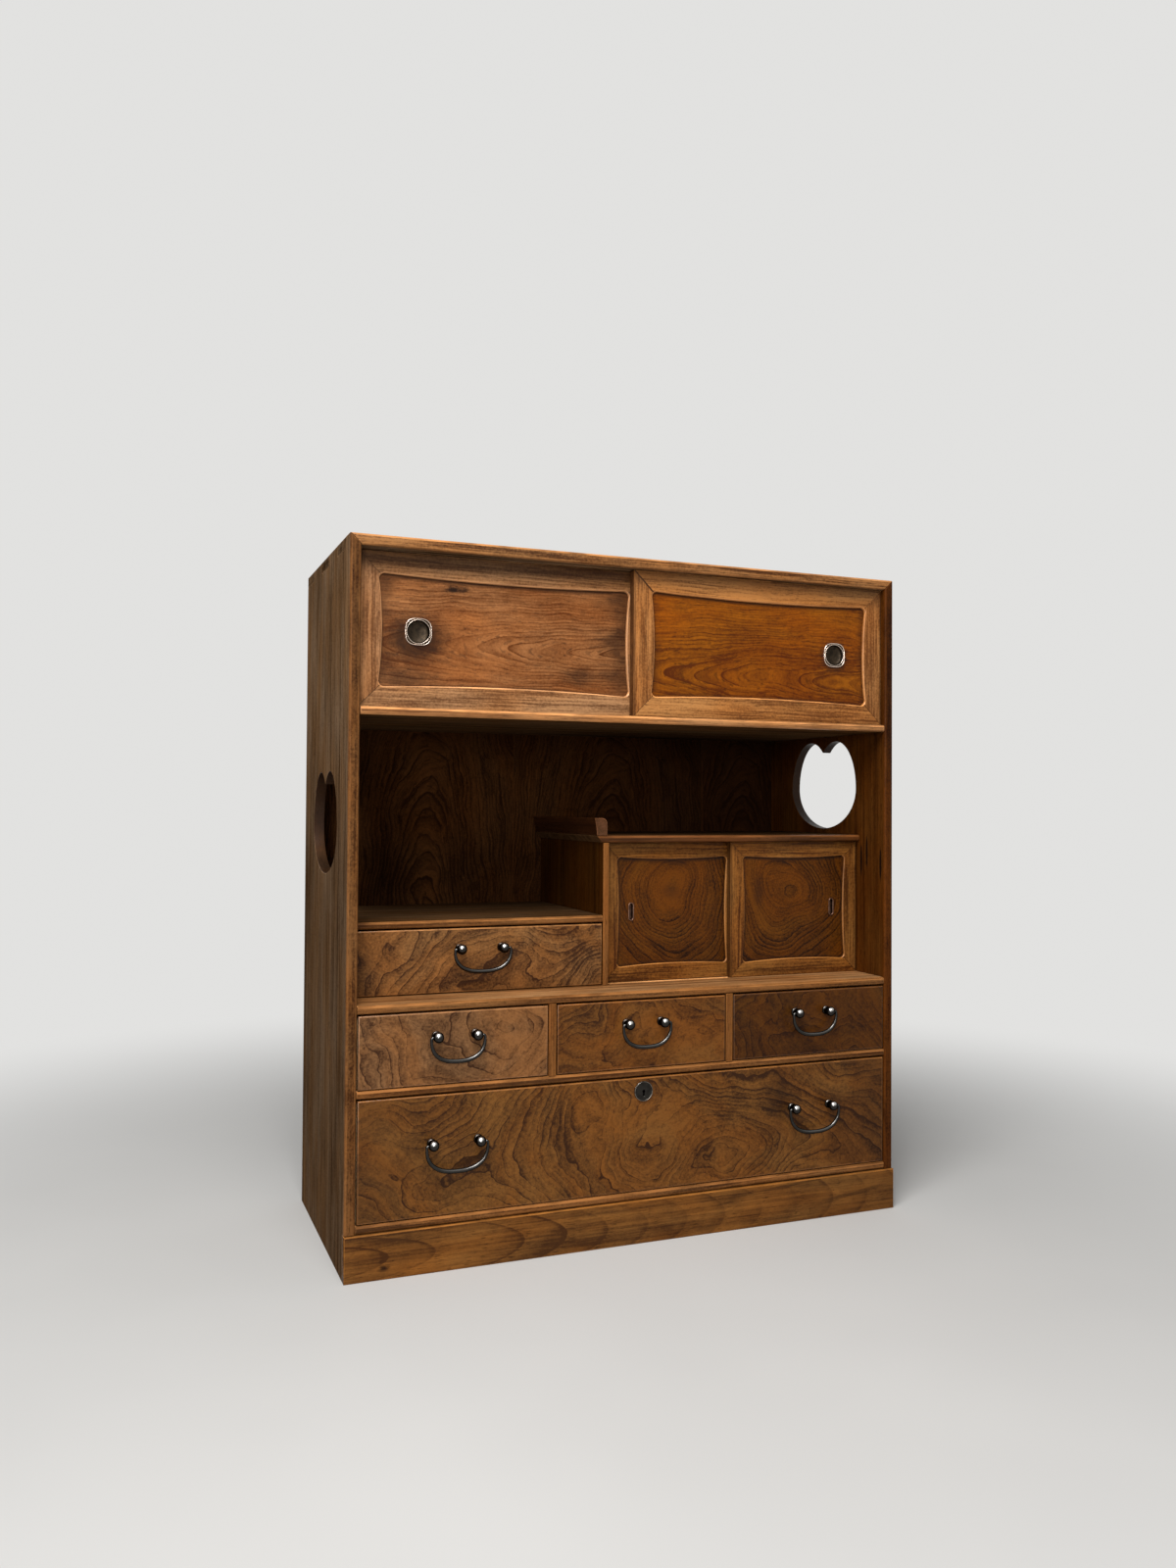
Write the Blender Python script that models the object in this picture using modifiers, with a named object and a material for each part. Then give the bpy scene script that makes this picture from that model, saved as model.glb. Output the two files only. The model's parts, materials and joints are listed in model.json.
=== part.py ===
"""Japanese tea cabinet: a jointed case with sliding doors, drawers, bail handles and a drawer lock.

Units are metres, +Z is up and the front faces -Y. The origin lies on the floor, under the middle
of the whole box with the bail handles included.
"""

import math

import bmesh
import bpy
from mathutils import Matrix, Vector

# Clearances
FIT = 0.0003            # between pieces that are glued or seated
RUN = 0.0006            # between pieces that slide on each other
PAST = 0.001            # how far a cutter runs past the surface that it cuts

# Case
WIDTH = 0.783
DEPTH = 0.326
HEIGHT = 0.900
SIDE_T = 0.014
TOP_T = 0.014
BACK_T = 0.009
BACK_REBATE = 0.007     # depth of the rebate for the back panel in the sides and the top
PLINTH_H = 0.056
PLINTH_T = 0.012
PLINTH_PROUD = 0.003
HOUSING = 0.005         # depth of a shelf's housing in the sides
HOUSING_STOP = 0.010    # distance from a shelf's front edge to its housing
DADO = 0.003            # depth of a divider's seat in a shelf
NOSE = 0.003            # rounding of the boards' front edges
FINE_NOSE = 0.0015      # rounding of the dividers' and the plinth's front edges
BACK_SEAM_LEFT = 0.313  # seams between the back's boards, from the left outer face
BACK_SEAM_RIGHT = 0.638
BACK_SEAM_W = 0.0008

# Finger joints of the top board
FINGER_COUNT = 3
FINGER_START = 0.029    # the mitred stretch in front of the first finger
FINGER_GAP = 0.064

# Shelves and bays, from the floor up
BOTTOM_T = 0.010
BOTTOM_BAY_H = 0.151
LOWER_SHELF_T = 0.0095
SMALL_BAY_H = 0.092
MID_SHELF_T = 0.010
UPPER_BAY_H = 0.0855
LEFT_SHELF_T = 0.009
CUPBOARD_BAY_H = 0.193
CUPBOARD_TOP_T = 0.0095
UPPER_SHELF_T = 0.0098
TOP_BAY_H = 0.1955

# Small cupboard and left shelf
SETBACK = 0.062         # from the case front to the small cupboard's front
CUPBOARD_W = 0.4025
CUPBOARD_WALL_T = 0.0082
CUPBOARD_OVERHANG = 0.0095
CUPBOARD_SLOPE = 0.008  # undercut of the cupboard top's free end
BRUSH_H = 0.0235
BRUSH_W = 0.0150
BRUSH_FLARE = 0.0035
BRUSH_ROUND = 0.008
BRUSH_HOLLOW = 1.7      # exponent of the hollow face, 1 is a straight slope
DRAWER_DIVIDER_T = 0.010

# Heart-shaped openings in the sides
HEART_Y = 0.161         # centre, behind the case front
HEART_LOBE_X = 0.0345   # lobe centre from the heart's middle line
HEART_LOBE_W = 0.054
HEART_LOBE_H = 0.072
HEART_BOWL_H = 0.061
HEART_DROP_LEFT = 0.0045

# Sliding doors of the top compartment
DOOR_FACE = 0.009       # front door's face behind the case front
DOOR_T = 0.014
DOOR_SPACE = 0.003      # between the two doors
DOOR_STILE = 0.027
DOOR_PANEL_T = 0.006
DOOR_RECESS = 0.004     # panel behind the frame's face
DOOR_BOW = 0.004        # how far an opening's edge bows inward
DOOR_CORNER = 0.007
DOOR_SEAT = 0.005       # panel edge inside the frame
DOOR_LIP = 0.0014       # rounding of the frame's edges
TONGUE_T = 0.005
TONGUE_ROOT = 0.005     # tongue's height inside the frame
TRACK_DEPTH = 0.003     # groove that carries a door
HEAD_DEPTH = 0.006      # groove that guides a door's top

# Sliding doors of the small cupboard
SMALL_DOOR_FACE = 0.008
SMALL_DOOR_T = 0.0105
SMALL_DOOR_SPACE = 0.0015
SMALL_DOOR_STILE = 0.0205
SMALL_DOOR_PANEL_T = 0.005
SMALL_DOOR_RECESS = 0.0025
SMALL_DOOR_BOW = 0.003
SMALL_DOOR_CORNER = 0.006
SMALL_DOOR_SEAT = 0.004
SMALL_DOOR_LIP = 0.0011
SMALL_TONGUE_T = 0.004
SMALL_TRACK_DEPTH = 0.0025
SMALL_HEAD_DEPTH = 0.004

# Door pulls
PULL_INSET = 0.077      # round pull's centre from its door's outer edge
PULL_RIM_R = 0.0172
PULL_RIM_T = 0.0018
PULL_RIM_ROUND = 0.00045
PULL_CUP_R = 0.0148
PULL_CUP_DEPTH = 0.0075
PULL_WALL = 0.0010
PULL_SQUARENESS = 2.6   # exponent of the rim's outline, 2 is a circle
PULL_BOWL = 2.6         # exponent of the cup's section
SLOT_INSET = 0.042
SLOT_W = 0.0070
SLOT_H = 0.0240
SLOT_DEPTH = 0.0040
SLOT_WALL = 0.0010
SLOT_RIM_T = 0.0010
SLOT_RIM = 0.0008       # width of the slot's rim beyond its body

# Drawers
DRAWER_INSET = 0.001    # drawer front behind the case front
DRAWER_SIDE_GAP = 0.0012
DRAWER_TOP_GAP = 0.0015
DRAWER_LIFT = 0.0012    # front's lower edge over the board below
DRAWER_BACK_GAP = 0.008
DRAWER_FRONT_T = 0.016
DRAWER_LIP = 0.006      # front's thickness over the sides' ends
DRAWER_SIDE_T = 0.008
DRAWER_SIDE_DROP = 0.004
DRAWER_BOTTOM_T = 0.005
DRAWER_BOTTOM_RAISE = 0.004
DRAWER_GROOVE = 0.0035
DRAWER_BACK_T = 0.008
DRAWER_BACK_INSET = 0.010
DRAWER_BACK_DROP = 0.006
DRAWER_ROUND = 0.0015

# Bail handles and their posts
BALL_R = 0.0066
POST_STAND = 0.0125     # hinge axis in front of the drawer front
POST_R = 0.0034
POST_FOOT_R = 0.0050
POST_FOOT_T = 0.0014
POST_FLARE = 0.0014     # length of the cone from the foot to the neck
POST_ROOT = 0.004       # post inside the drawer front
PIN_R = 0.0014
PIN_IN = 0.0036         # pin inside the ball
BORE_PLAY = 0.0005
BAIL_R = 0.0028
BAIL_TIP_R = 0.0017     # bail's radius beside the posts
BAIL_SWELL = 0.8        # exponent of the bail's growth towards its middle
BAIL_CURL = 0.0021
BAIL_RISE = 0.015       # hinge axis over the middle of the drawer front
BAIL_SQUARENESS = 2.25
UPPER_SPACING = 0.057
SMALL_SPACING = 0.050
BOTTOM_SPACING = 0.0595
UPPER_DROP = 0.0320
SMALL_DROP = 0.0330
BOTTOM_DROP = 0.0360

# Drawer lock
LOCK_DOWN = 0.0186      # lock's centre below the front's top edge
LOCK_FACE_R = 0.0130
LOCK_FACE_T = 0.0016
LOCK_NOZZLE_R = 0.0085
LOCK_NOZZLE_ROOT = 0.002    # nozzle inside the lock case
LOCK_CASE_W = 0.046
LOCK_CASE_H = 0.034
LOCK_CASE_T = 0.011
KEYHOLE_R = 0.0021
KEYHOLE_SLOT_W = 0.0024
KEYHOLE_SLOT_H = 0.0062
KEYHOLE_DEPTH = 0.006
BOLT_W = 0.022
BOLT_T = 0.005
BOLT_H = 0.018
BOLT_THROW = 0.006

# Facets of round shapes, and tolerances
ARC_STEPS = 12
TURN_STEPS = 12
CUP_STEPS = 24
BOWL_STEPS = 3
NOSE_STEPS = 2
SAME = 1e-6             # points closer than this are one point
FLAT = 1e-3             # faces that turn less than this, in radians, are one face
JOINT_MARK = 0.02       # drawn size of a joint's empty

# Places that follow from the sizes
X_IN = WIDTH / 2 - SIDE_T
HANDLE_REACH = POST_STAND + BALL_R - DRAWER_INSET
Y_FRONT = (HANDLE_REACH - DEPTH) / 2
Y_BACK = Y_FRONT + DEPTH
Y_IN_BACK = Y_BACK - BACK_T
Y_SET = Y_FRONT + SETBACK
Y_PLINTH_BACK = Y_FRONT - PLINTH_PROUD + PLINTH_T

Z_BOTTOM = PLINTH_H + FIT
Z_BOTTOM_BAY = Z_BOTTOM + BOTTOM_T
Z_LOWER_SHELF = Z_BOTTOM_BAY + BOTTOM_BAY_H
Z_SMALL_BAY = Z_LOWER_SHELF + LOWER_SHELF_T
Z_MID_SHELF = Z_SMALL_BAY + SMALL_BAY_H
Z_UPPER_BAY = Z_MID_SHELF + MID_SHELF_T
Z_LEFT_SHELF = Z_UPPER_BAY + UPPER_BAY_H
Z_NICHE_LEFT = Z_LEFT_SHELF + LEFT_SHELF_T
Z_CUPBOARD_TOP = Z_UPPER_BAY + CUPBOARD_BAY_H
Z_NICHE_RIGHT = Z_CUPBOARD_TOP + CUPBOARD_TOP_T
Z_TOP = HEIGHT - TOP_T
Z_TOP_BAY = Z_TOP - TOP_BAY_H
Z_UPPER_SHELF = Z_TOP_BAY - UPPER_SHELF_T

X_CUPBOARD = X_IN - CUPBOARD_W
X_CUPBOARD_WALL = X_CUPBOARD - CUPBOARD_WALL_T
X_BRUSH = X_CUPBOARD_WALL - CUPBOARD_OVERHANG
SMALL_BAY_W = (2 * X_IN - 2 * DRAWER_DIVIDER_T) / 3
SMALL_PITCH = SMALL_BAY_W + DRAWER_DIVIDER_T


# Meshes

def box_mesh(low, high):
    """A box between two corners."""
    low = Vector(low)
    high = Vector(high)
    bm = bmesh.new()
    bmesh.ops.create_cube(bm, size=1.0)
    bm.transform(Matrix.Translation((low + high) / 2) @ Matrix.Diagonal((*(high - low), 1.0)))
    return finish_mesh(bm)


def rod_mesh(start, end, radius, steps):
    """A cylinder between two points."""
    start = Vector(start)
    run = Vector(end) - start
    bm = bmesh.new()
    bmesh.ops.create_cone(bm, cap_ends=True, segments=steps, radius1=radius, radius2=radius, depth=run.length)
    turn = Vector((0.0, 0.0, 1.0)).rotation_difference(run).to_matrix().to_4x4()
    bm.transform(Matrix.Translation(start + run / 2) @ turn)
    return finish_mesh(bm)


def slab_mesh(outlines, low, high, axis, rounding=0.0):
    """Extrude closed outlines along an axis. The first is solid and the others are holes.

    Outline points are (y, z) for axis X, (x, z) for axis Y and (x, y) for axis Z.
    """
    curve = bpy.data.curves.new("outline", "CURVE")
    curve.dimensions = "2D"
    curve.fill_mode = "BOTH"
    curve.extrude = (high - low) / 2 - rounding
    curve.bevel_depth = rounding
    curve.bevel_resolution = 1
    curve.offset = -rounding
    for outline in outlines:
        spline = curve.splines.new("POLY")
        spline.points.add(len(outline) - 1)
        for point, (u, v) in zip(spline.points, outline):
            point.co = (u, v, 0.0, 1.0)
        spline.use_cyclic_u = True
    guide = bpy.data.objects.new("outline", curve)
    bpy.context.scene.collection.objects.link(guide)
    evaluated = guide.evaluated_get(bpy.context.evaluated_depsgraph_get())
    mesh = bpy.data.meshes.new_from_object(evaluated)
    bpy.data.objects.remove(guide)
    bpy.data.curves.remove(curve)

    bm = bmesh.new()
    bm.from_mesh(mesh)
    bpy.data.meshes.remove(mesh)
    bmesh.ops.remove_doubles(bm, verts=bm.verts, dist=SAME)
    bmesh.ops.dissolve_degenerate(bm, edges=bm.edges, dist=SAME)
    bmesh.ops.dissolve_limit(bm, angle_limit=FLAT, verts=bm.verts, edges=bm.edges)
    bmesh.ops.recalc_face_normals(bm, faces=bm.faces)
    middle = (low + high) / 2
    if axis == "X":
        place = Matrix(((0, 0, 1, middle), (1, 0, 0, 0), (0, 1, 0, 0), (0, 0, 0, 1)))
    elif axis == "Y":
        place = Matrix(((1, 0, 0, 0), (0, 0, -1, middle), (0, 1, 0, 0), (0, 0, 0, 1)))
    else:
        place = Matrix.Translation((0, 0, middle))
    bm.transform(place)
    return finish_mesh(bm)


def finish_mesh(bm):
    """Turn a bmesh into mesh data."""
    mesh = bpy.data.meshes.new("piece")
    bm.to_mesh(mesh)
    bm.free()
    return mesh


def round_front(mesh, y, along, radius):
    """Round the edges of the face at y that run along the given axes."""
    bm = bmesh.new()
    bm.from_mesh(mesh)
    edges = []
    for edge in bm.edges:
        run = edge.verts[0].co - edge.verts[1].co
        main = max(range(3), key=lambda axis: abs(run[axis]))
        if "XYZ"[main] in along and all(abs(vert.co.y - y) < SAME for vert in edge.verts):
            edges.append(edge)
    bmesh.ops.bevel(bm, geom=edges, offset=radius, segments=NOSE_STEPS, profile=0.5, affect="EDGES")
    bm.to_mesh(mesh)
    bm.free()


def arc(centre, radius_u, radius_v, start, end, steps, exponent=2.0):
    """Points on an elliptic arc, angles in degrees. An exponent over 2 makes it squarer."""
    points = []
    for step in range(steps + 1):
        angle = math.radians(start + (end - start) * step / steps)
        cosine = math.cos(angle)
        sine = math.sin(angle)
        u = math.copysign(abs(cosine) ** (2 / exponent), cosine)
        v = math.copysign(abs(sine) ** (2 / exponent), sine)
        points.append((centre[0] + radius_u * u, centre[1] + radius_v * v))
    return points


# Objects

def add_piece(name, mesh, material, parent=None):
    """Link a piece. A moving one keeps its mesh about its parent's joint empty."""
    mesh.name = name
    mesh.materials.append(MATERIALS[material])
    piece = bpy.data.objects.new(name, mesh)
    PARTS.objects.link(piece)
    if parent is not None:
        mesh.transform(Matrix.Translation(-parent.location))
        piece.parent = parent
    return piece


def add_joint(name, place):
    """An empty on a joint's axis."""
    empty = bpy.data.objects.new(name, None)
    empty.location = place
    empty.empty_display_size = JOINT_MARK
    PARTS.objects.link(empty)
    return empty


def keep_tool(tool, collection):
    """Keep a tool object out of sight."""
    collection.objects.link(tool)
    tool.hide_render = True
    tool.display_type = "WIRE"


def apply_tool(piece, tool, operation):
    """Use a tool object in a Boolean."""
    keep_tool(tool, CUTTERS)
    modifier = piece.modifiers.new(tool.name, "BOOLEAN")
    modifier.operation = operation
    modifier.object = tool


def cut(piece, mesh):
    """Take a mesh, given in world coordinates, out of a piece."""
    tool = bpy.data.objects.new(f"{piece.name}_cut_{len(piece.modifiers) + 1}", mesh)
    apply_tool(piece, tool, "DIFFERENCE")


def join(piece, mesh):
    """Add a mesh, given in world coordinates, to a piece."""
    tool = bpy.data.objects.new(f"{piece.name}_join_{len(piece.modifiers) + 1}", mesh)
    apply_tool(piece, tool, "UNION")


def turned_tool(name, profile, place, steps):
    """A tool that is turned about an axis along -Y through a place."""
    mesh = bpy.data.meshes.new("profile")
    edges = [(index, index + 1) for index in range(len(profile) - 1)]
    mesh.from_pydata([(radius, 0.0, height) for radius, height in profile], edges, [])
    tool = bpy.data.objects.new(name, mesh)
    tool.location = place
    tool.rotation_euler = (math.pi / 2, 0.0, 0.0)
    screw = tool.modifiers.new("turn", "SCREW")
    screw.steps = steps
    screw.render_steps = steps
    screw.use_merge_vertices = True
    screw.merge_threshold = SAME
    return tool


def wood(name, colour, roughness=0.5):
    return name, colour, roughness, 0.0


def metal(name, colour, roughness):
    return name, colour, roughness, 1.0


def make_materials():
    """One Principled material for each finish."""
    finishes = (
        wood("case_wood", (0.20, 0.105, 0.050)),
        wood("shelf_wood", (0.24, 0.125, 0.060)),
        wood("back_wood", (0.065, 0.034, 0.018), 0.6),
        wood("frame_wood", (0.30, 0.165, 0.075)),
        wood("panel_wood", (0.34, 0.140, 0.045), 0.4),
        wood("burl_wood", (0.19, 0.090, 0.040), 0.4),
        wood("drawer_wood", (0.42, 0.28, 0.16), 0.65),
        metal("black_bronze", (0.045, 0.042, 0.042), 0.35),
        metal("copper", (0.70, 0.48, 0.38), 0.3),
        metal("iron", (0.16, 0.15, 0.14), 0.5),
    )
    made = {}
    for name, colour, roughness, metallic in finishes:
        material = bpy.data.materials.new(name)
        material.use_nodes = True
        shader = material.node_tree.nodes["Principled BSDF"]
        shader.inputs["Base Color"].default_value = (*colour, 1.0)
        shader.inputs["Roughness"].default_value = roughness
        shader.inputs["Metallic"].default_value = metallic
        material.diffuse_color = (*colour, 1.0)
        made[name] = material
    return made


# Case

def finger_spans():
    """Front and back ends of the top board's fingers."""
    length = (DEPTH - FINGER_START - (FINGER_COUNT - 1) * FINGER_GAP) / FINGER_COUNT
    starts = [Y_FRONT + FINGER_START + index * (length + FINGER_GAP) for index in range(FINGER_COUNT)]
    return [(start, start + length) for start in starts]


def mitre_mesh(hand, keep_top):
    """Wedge that leaves the top board, or else the side, with its half of a mitred front corner."""
    outer = Vector((hand * WIDTH / 2, HEIGHT))
    inner = Vector((hand * X_IN, Z_TOP))
    run = (inner - outer).normalized() * PAST
    away = Vector((hand * TOP_T, SIDE_T)).normalized() * (FIT / 2)
    away.x = -away.x
    if keep_top:
        edge = (outer - run + away, inner + run + away)
        corner = Vector((hand * (WIDTH / 2 + 2 * PAST), Z_TOP - 2 * PAST))
    else:
        edge = (outer - run - away, inner + run - away)
        corner = Vector((inner.x - hand * 2 * PAST, HEIGHT + 2 * PAST))
    end = Y_FRONT + FINGER_START + FIT / 2
    return slab_mesh([[tuple(edge[0]), tuple(edge[1]), tuple(corner)]], Y_FRONT - PAST, end, "Y")


def heart_outline(z_middle):
    """Two lobes over a round bowl, in the plane of a side."""
    y_middle = Y_FRONT + HEART_Y
    z_wide = z_middle + (HEART_BOWL_H - HEART_LOBE_H) / 2
    meet = math.degrees(math.acos(HEART_LOBE_X / HEART_LOBE_W))
    half = HEART_LOBE_X + HEART_LOBE_W
    front_lobe = arc((y_middle - HEART_LOBE_X, z_wide), HEART_LOBE_W, HEART_LOBE_H, meet, 180, ARC_STEPS)
    bowl = arc((y_middle, z_wide), half, HEART_BOWL_H, 180, 360, 2 * ARC_STEPS)
    back_lobe = arc((y_middle + HEART_LOBE_X, z_wide), HEART_LOBE_W, HEART_LOBE_H, 0, 180 - meet, ARC_STEPS)
    return front_lobe + bowl[1:] + back_lobe[1:-1]


def side_finger_slots():
    """Front and back of the slots in a side's top edge, which take the top board's fingers."""
    slots = [(start - FIT / 2, end + FIT / 2) for start, end in finger_spans()]
    slots[-1] = (slots[-1][0], Y_BACK + PAST)
    return slots


def make_side(name, hand, housings, heart_z):
    """A side board. Housings are (bottom, thickness, front) of the shelves that it carries."""
    faces = sorted((hand * X_IN, hand * WIDTH / 2))
    mesh = box_mesh((faces[0], Y_FRONT, 0.0), (faces[1], Y_BACK, HEIGHT))
    round_front(mesh, Y_FRONT, "Z", NOSE)
    side = add_piece(name, mesh, "case_wood")
    through = (faces[0] - PAST, faces[1] + PAST)
    notch = (through[1], Y_PLINTH_BACK + FIT, PLINTH_H + FIT)
    cut(side, box_mesh((through[0], Y_FRONT - PAST, -PAST), notch))
    for start, end in side_finger_slots():
        cut(side, box_mesh((through[0], start, Z_TOP - FIT), (through[1], end, HEIGHT + PAST)))
    cut(side, mitre_mesh(hand, keep_top=False))
    cut(side, slab_mesh([heart_outline(heart_z)], *through, "X"))
    for bottom, thickness, front in housings:
        span = sorted((hand * (X_IN - PAST), hand * (X_IN + HOUSING)))
        low = (span[0], front + HOUSING_STOP - FIT, bottom - FIT)
        high = (span[1], Y_IN_BACK + PAST, bottom + thickness + FIT)
        cut(side, box_mesh(low, high))
    span = sorted((hand * (X_IN - PAST), hand * (X_IN + BACK_REBATE)))
    low = (span[0], Y_IN_BACK, Z_BOTTOM - FIT)
    cut(side, box_mesh(low, (span[1], Y_BACK + PAST, HEIGHT + PAST)))


def make_top():
    """Top board with fingers over the sides, mitred front corners and the doors' head grooves."""
    mesh = box_mesh((-WIDTH / 2, Y_FRONT, Z_TOP), (WIDTH / 2, Y_BACK, HEIGHT))
    round_front(mesh, Y_FRONT, "X", NOSE)
    top = add_piece("top_board", mesh, "case_wood")
    fingers = finger_spans()
    for hand in (-1, 1):
        span = sorted((hand * (X_IN - FIT), hand * (WIDTH / 2 + PAST)))
        for (_, end), (start, _) in zip(fingers, fingers[1:]):
            low = (span[0], end - FIT / 2, Z_TOP - PAST)
            cut(top, box_mesh(low, (span[1], start + FIT / 2, HEIGHT + PAST)))
        cut(top, mitre_mesh(hand, keep_top=True))
    for low_y, high_y in track_spans(Y_FRONT + DOOR_FACE, DOOR_T, DOOR_SPACE, TONGUE_T):
        cut(top, box_mesh((-X_IN, low_y, Z_TOP - PAST), (X_IN, high_y, Z_TOP + HEAD_DEPTH)))
    rebate = X_IN + BACK_REBATE
    cut(top, box_mesh((-rebate, Y_IN_BACK, Z_TOP - PAST), (rebate, Y_BACK + PAST, Z_TOP + BACK_REBATE)))


def track_spans(face, thickness, space, tongue):
    """Front and back of the two door grooves, the front door's first."""
    spans = []
    for index in range(2):
        middle = face + thickness / 2 + index * (thickness + space)
        half = tongue / 2 + RUN
        spans.append((middle - half, middle + half))
    return spans


def make_shelf(name, bottom, thickness, front, left, right):
    """A shelf with a rounded front edge. Each end is (face, seat depth) of what carries it."""
    left_face, left_seat = left
    right_face, right_seat = right
    low = (left_face - left_seat + FIT, front, bottom)
    high = (right_face + right_seat - FIT, Y_IN_BACK - FIT, bottom + thickness)
    mesh = box_mesh(low, high)
    round_front(mesh, front, "X", NOSE)
    shelf = add_piece(name, mesh, "shelf_wood")
    for near, far in ((low[0] - PAST, left_face + FIT), (right_face - FIT, high[0] + PAST)):
        cut(shelf, box_mesh((near, front - PAST, bottom - PAST), (far, front + HOUSING_STOP, high[2] + PAST)))
    return shelf


def cut_seat(shelf, left, right, front, low_z, high_z):
    """A divider's seat across a shelf."""
    low = (left - FIT, front + HOUSING_STOP - FIT, low_z)
    high = (right + FIT, Y_BACK, high_z)
    cut(shelf, box_mesh(low, high))


def make_divider(name, left, thickness, front, low_z, high_z):
    """An upright divider whose tongues seat in the boards below and above it."""
    foot = low_z - DADO + FIT
    head = high_z + DADO - FIT
    mesh = box_mesh((left, front, foot), (left + thickness, Y_IN_BACK - FIT, head))
    round_front(mesh, front, "Z", FINE_NOSE)
    divider = add_piece(name, mesh, "shelf_wood")
    for near, far in ((foot - PAST, low_z + FIT), (high_z - FIT, head + PAST)):
        low = (left - PAST, front - PAST, near)
        cut(divider, box_mesh(low, (left + thickness + PAST, front + HOUSING_STOP, far)))
    return divider


def small_divider_left_face(hand):
    """Left face of a divider between the small drawers."""
    return hand * SMALL_PITCH / 2 - DRAWER_DIVIDER_T / 2


def make_shelves():
    """The four through shelves and the left shelf, with their door grooves and divider seats."""
    through = ((-X_IN, HOUSING), (X_IN, HOUSING))

    upper = make_shelf("upper_shelf", Z_UPPER_SHELF, UPPER_SHELF_T, Y_FRONT, *through)
    for low_y, high_y in track_spans(Y_FRONT + DOOR_FACE, DOOR_T, DOOR_SPACE, TONGUE_T):
        cut(upper, box_mesh((-X_IN, low_y, Z_TOP_BAY - TRACK_DEPTH), (X_IN, high_y, Z_TOP_BAY + PAST)))

    mid = make_shelf("mid_shelf", Z_MID_SHELF, MID_SHELF_T, Y_FRONT, *through)
    tracks = track_spans(Y_SET + SMALL_DOOR_FACE, SMALL_DOOR_T, SMALL_DOOR_SPACE, SMALL_TONGUE_T)
    for low_y, high_y in tracks:
        low = (X_CUPBOARD + RUN, low_y, Z_UPPER_BAY - SMALL_TRACK_DEPTH)
        cut(mid, box_mesh(low, (X_IN, high_y, Z_UPPER_BAY + PAST)))
    cut_seat(mid, X_CUPBOARD_WALL, X_CUPBOARD, Y_SET, Z_UPPER_BAY - DADO, Z_UPPER_BAY + PAST)

    lower = make_shelf("lower_shelf", Z_LOWER_SHELF, LOWER_SHELF_T, Y_FRONT, *through)
    for hand in (-1, 1):
        left = small_divider_left_face(hand)
        right = left + DRAWER_DIVIDER_T
        cut_seat(mid, left, right, Y_FRONT, Z_MID_SHELF - PAST, Z_MID_SHELF + DADO)
        cut_seat(lower, left, right, Y_FRONT, Z_SMALL_BAY - DADO, Z_SMALL_BAY + PAST)
    y_bolt = bolt_front()
    low = (-BOLT_W / 2 - RUN, y_bolt - RUN, Z_LOWER_SHELF - PAST)
    high = (BOLT_W / 2 + RUN, y_bolt + BOLT_T + RUN, bolt_rest_top() + BOLT_THROW + RUN)
    cut(lower, box_mesh(low, high))

    make_shelf("bottom_board", Z_BOTTOM, BOTTOM_T, Y_FRONT, *through)
    make_shelf("left_shelf", Z_LEFT_SHELF, LEFT_SHELF_T, Y_SET, (-X_IN, HOUSING), (X_CUPBOARD_WALL, DADO))


def make_small_cupboard():
    """Wall and top of the small cupboard, with the brush return on the top's free end."""
    wall = make_divider("cupboard_wall", X_CUPBOARD_WALL, CUPBOARD_WALL_T, Y_SET, Z_UPPER_BAY, Z_CUPBOARD_TOP)
    low = (X_CUPBOARD_WALL - PAST, Y_SET + HOUSING_STOP - FIT, Z_LEFT_SHELF - FIT)
    cut(wall, box_mesh(low, (X_CUPBOARD_WALL + DADO, Y_BACK, Z_NICHE_LEFT + FIT)))

    end = X_IN + HOUSING - FIT
    outline = [
        (X_BRUSH + CUPBOARD_SLOPE, Z_CUPBOARD_TOP), (end, Z_CUPBOARD_TOP),
        (end, Z_NICHE_RIGHT), (X_BRUSH, Z_NICHE_RIGHT),
    ]
    mesh = slab_mesh([outline], Y_SET, Y_IN_BACK - FIT, "Y")
    round_front(mesh, Y_SET, "X", NOSE)
    top = add_piece("cupboard_top", mesh, "shelf_wood")
    low = (X_IN - FIT, Y_SET - PAST, Z_CUPBOARD_TOP - PAST)
    cut(top, box_mesh(low, (end + PAST, Y_SET + HOUSING_STOP, Z_NICHE_RIGHT + PAST)))
    cut_seat(top, X_CUPBOARD_WALL, X_CUPBOARD, Y_SET, Z_CUPBOARD_TOP - PAST, Z_CUPBOARD_TOP + DADO)
    tracks = track_spans(Y_SET + SMALL_DOOR_FACE, SMALL_DOOR_T, SMALL_DOOR_SPACE, SMALL_TONGUE_T)
    for low_y, high_y in tracks:
        low = (X_CUPBOARD + RUN, low_y, Z_CUPBOARD_TOP - PAST)
        cut(top, box_mesh(low, (X_IN - 2 * FIT, high_y, Z_CUPBOARD_TOP + SMALL_HEAD_DEPTH)))

    add_piece("brush_return", slab_mesh([brush_outline()], Y_SET, Y_IN_BACK - FIT, "Y"), "shelf_wood")


def brush_outline():
    """Section of the brush return: a hollow, outward leaning face and a rounded shoulder."""
    foot = Z_NICHE_RIGHT + FIT
    steps = ARC_STEPS // 2
    hollow = []
    for step in range(steps + 1):
        share = step / steps
        hollow.append((X_BRUSH - BRUSH_FLARE * share ** BRUSH_HOLLOW, foot + BRUSH_H * share))
    corner = (X_BRUSH + BRUSH_W - BRUSH_ROUND, foot + BRUSH_H - BRUSH_ROUND)
    shoulder = arc(corner, BRUSH_ROUND, BRUSH_ROUND, 90, 0, steps)
    return hollow + shoulder + [(X_BRUSH + BRUSH_W, foot)]


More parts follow.
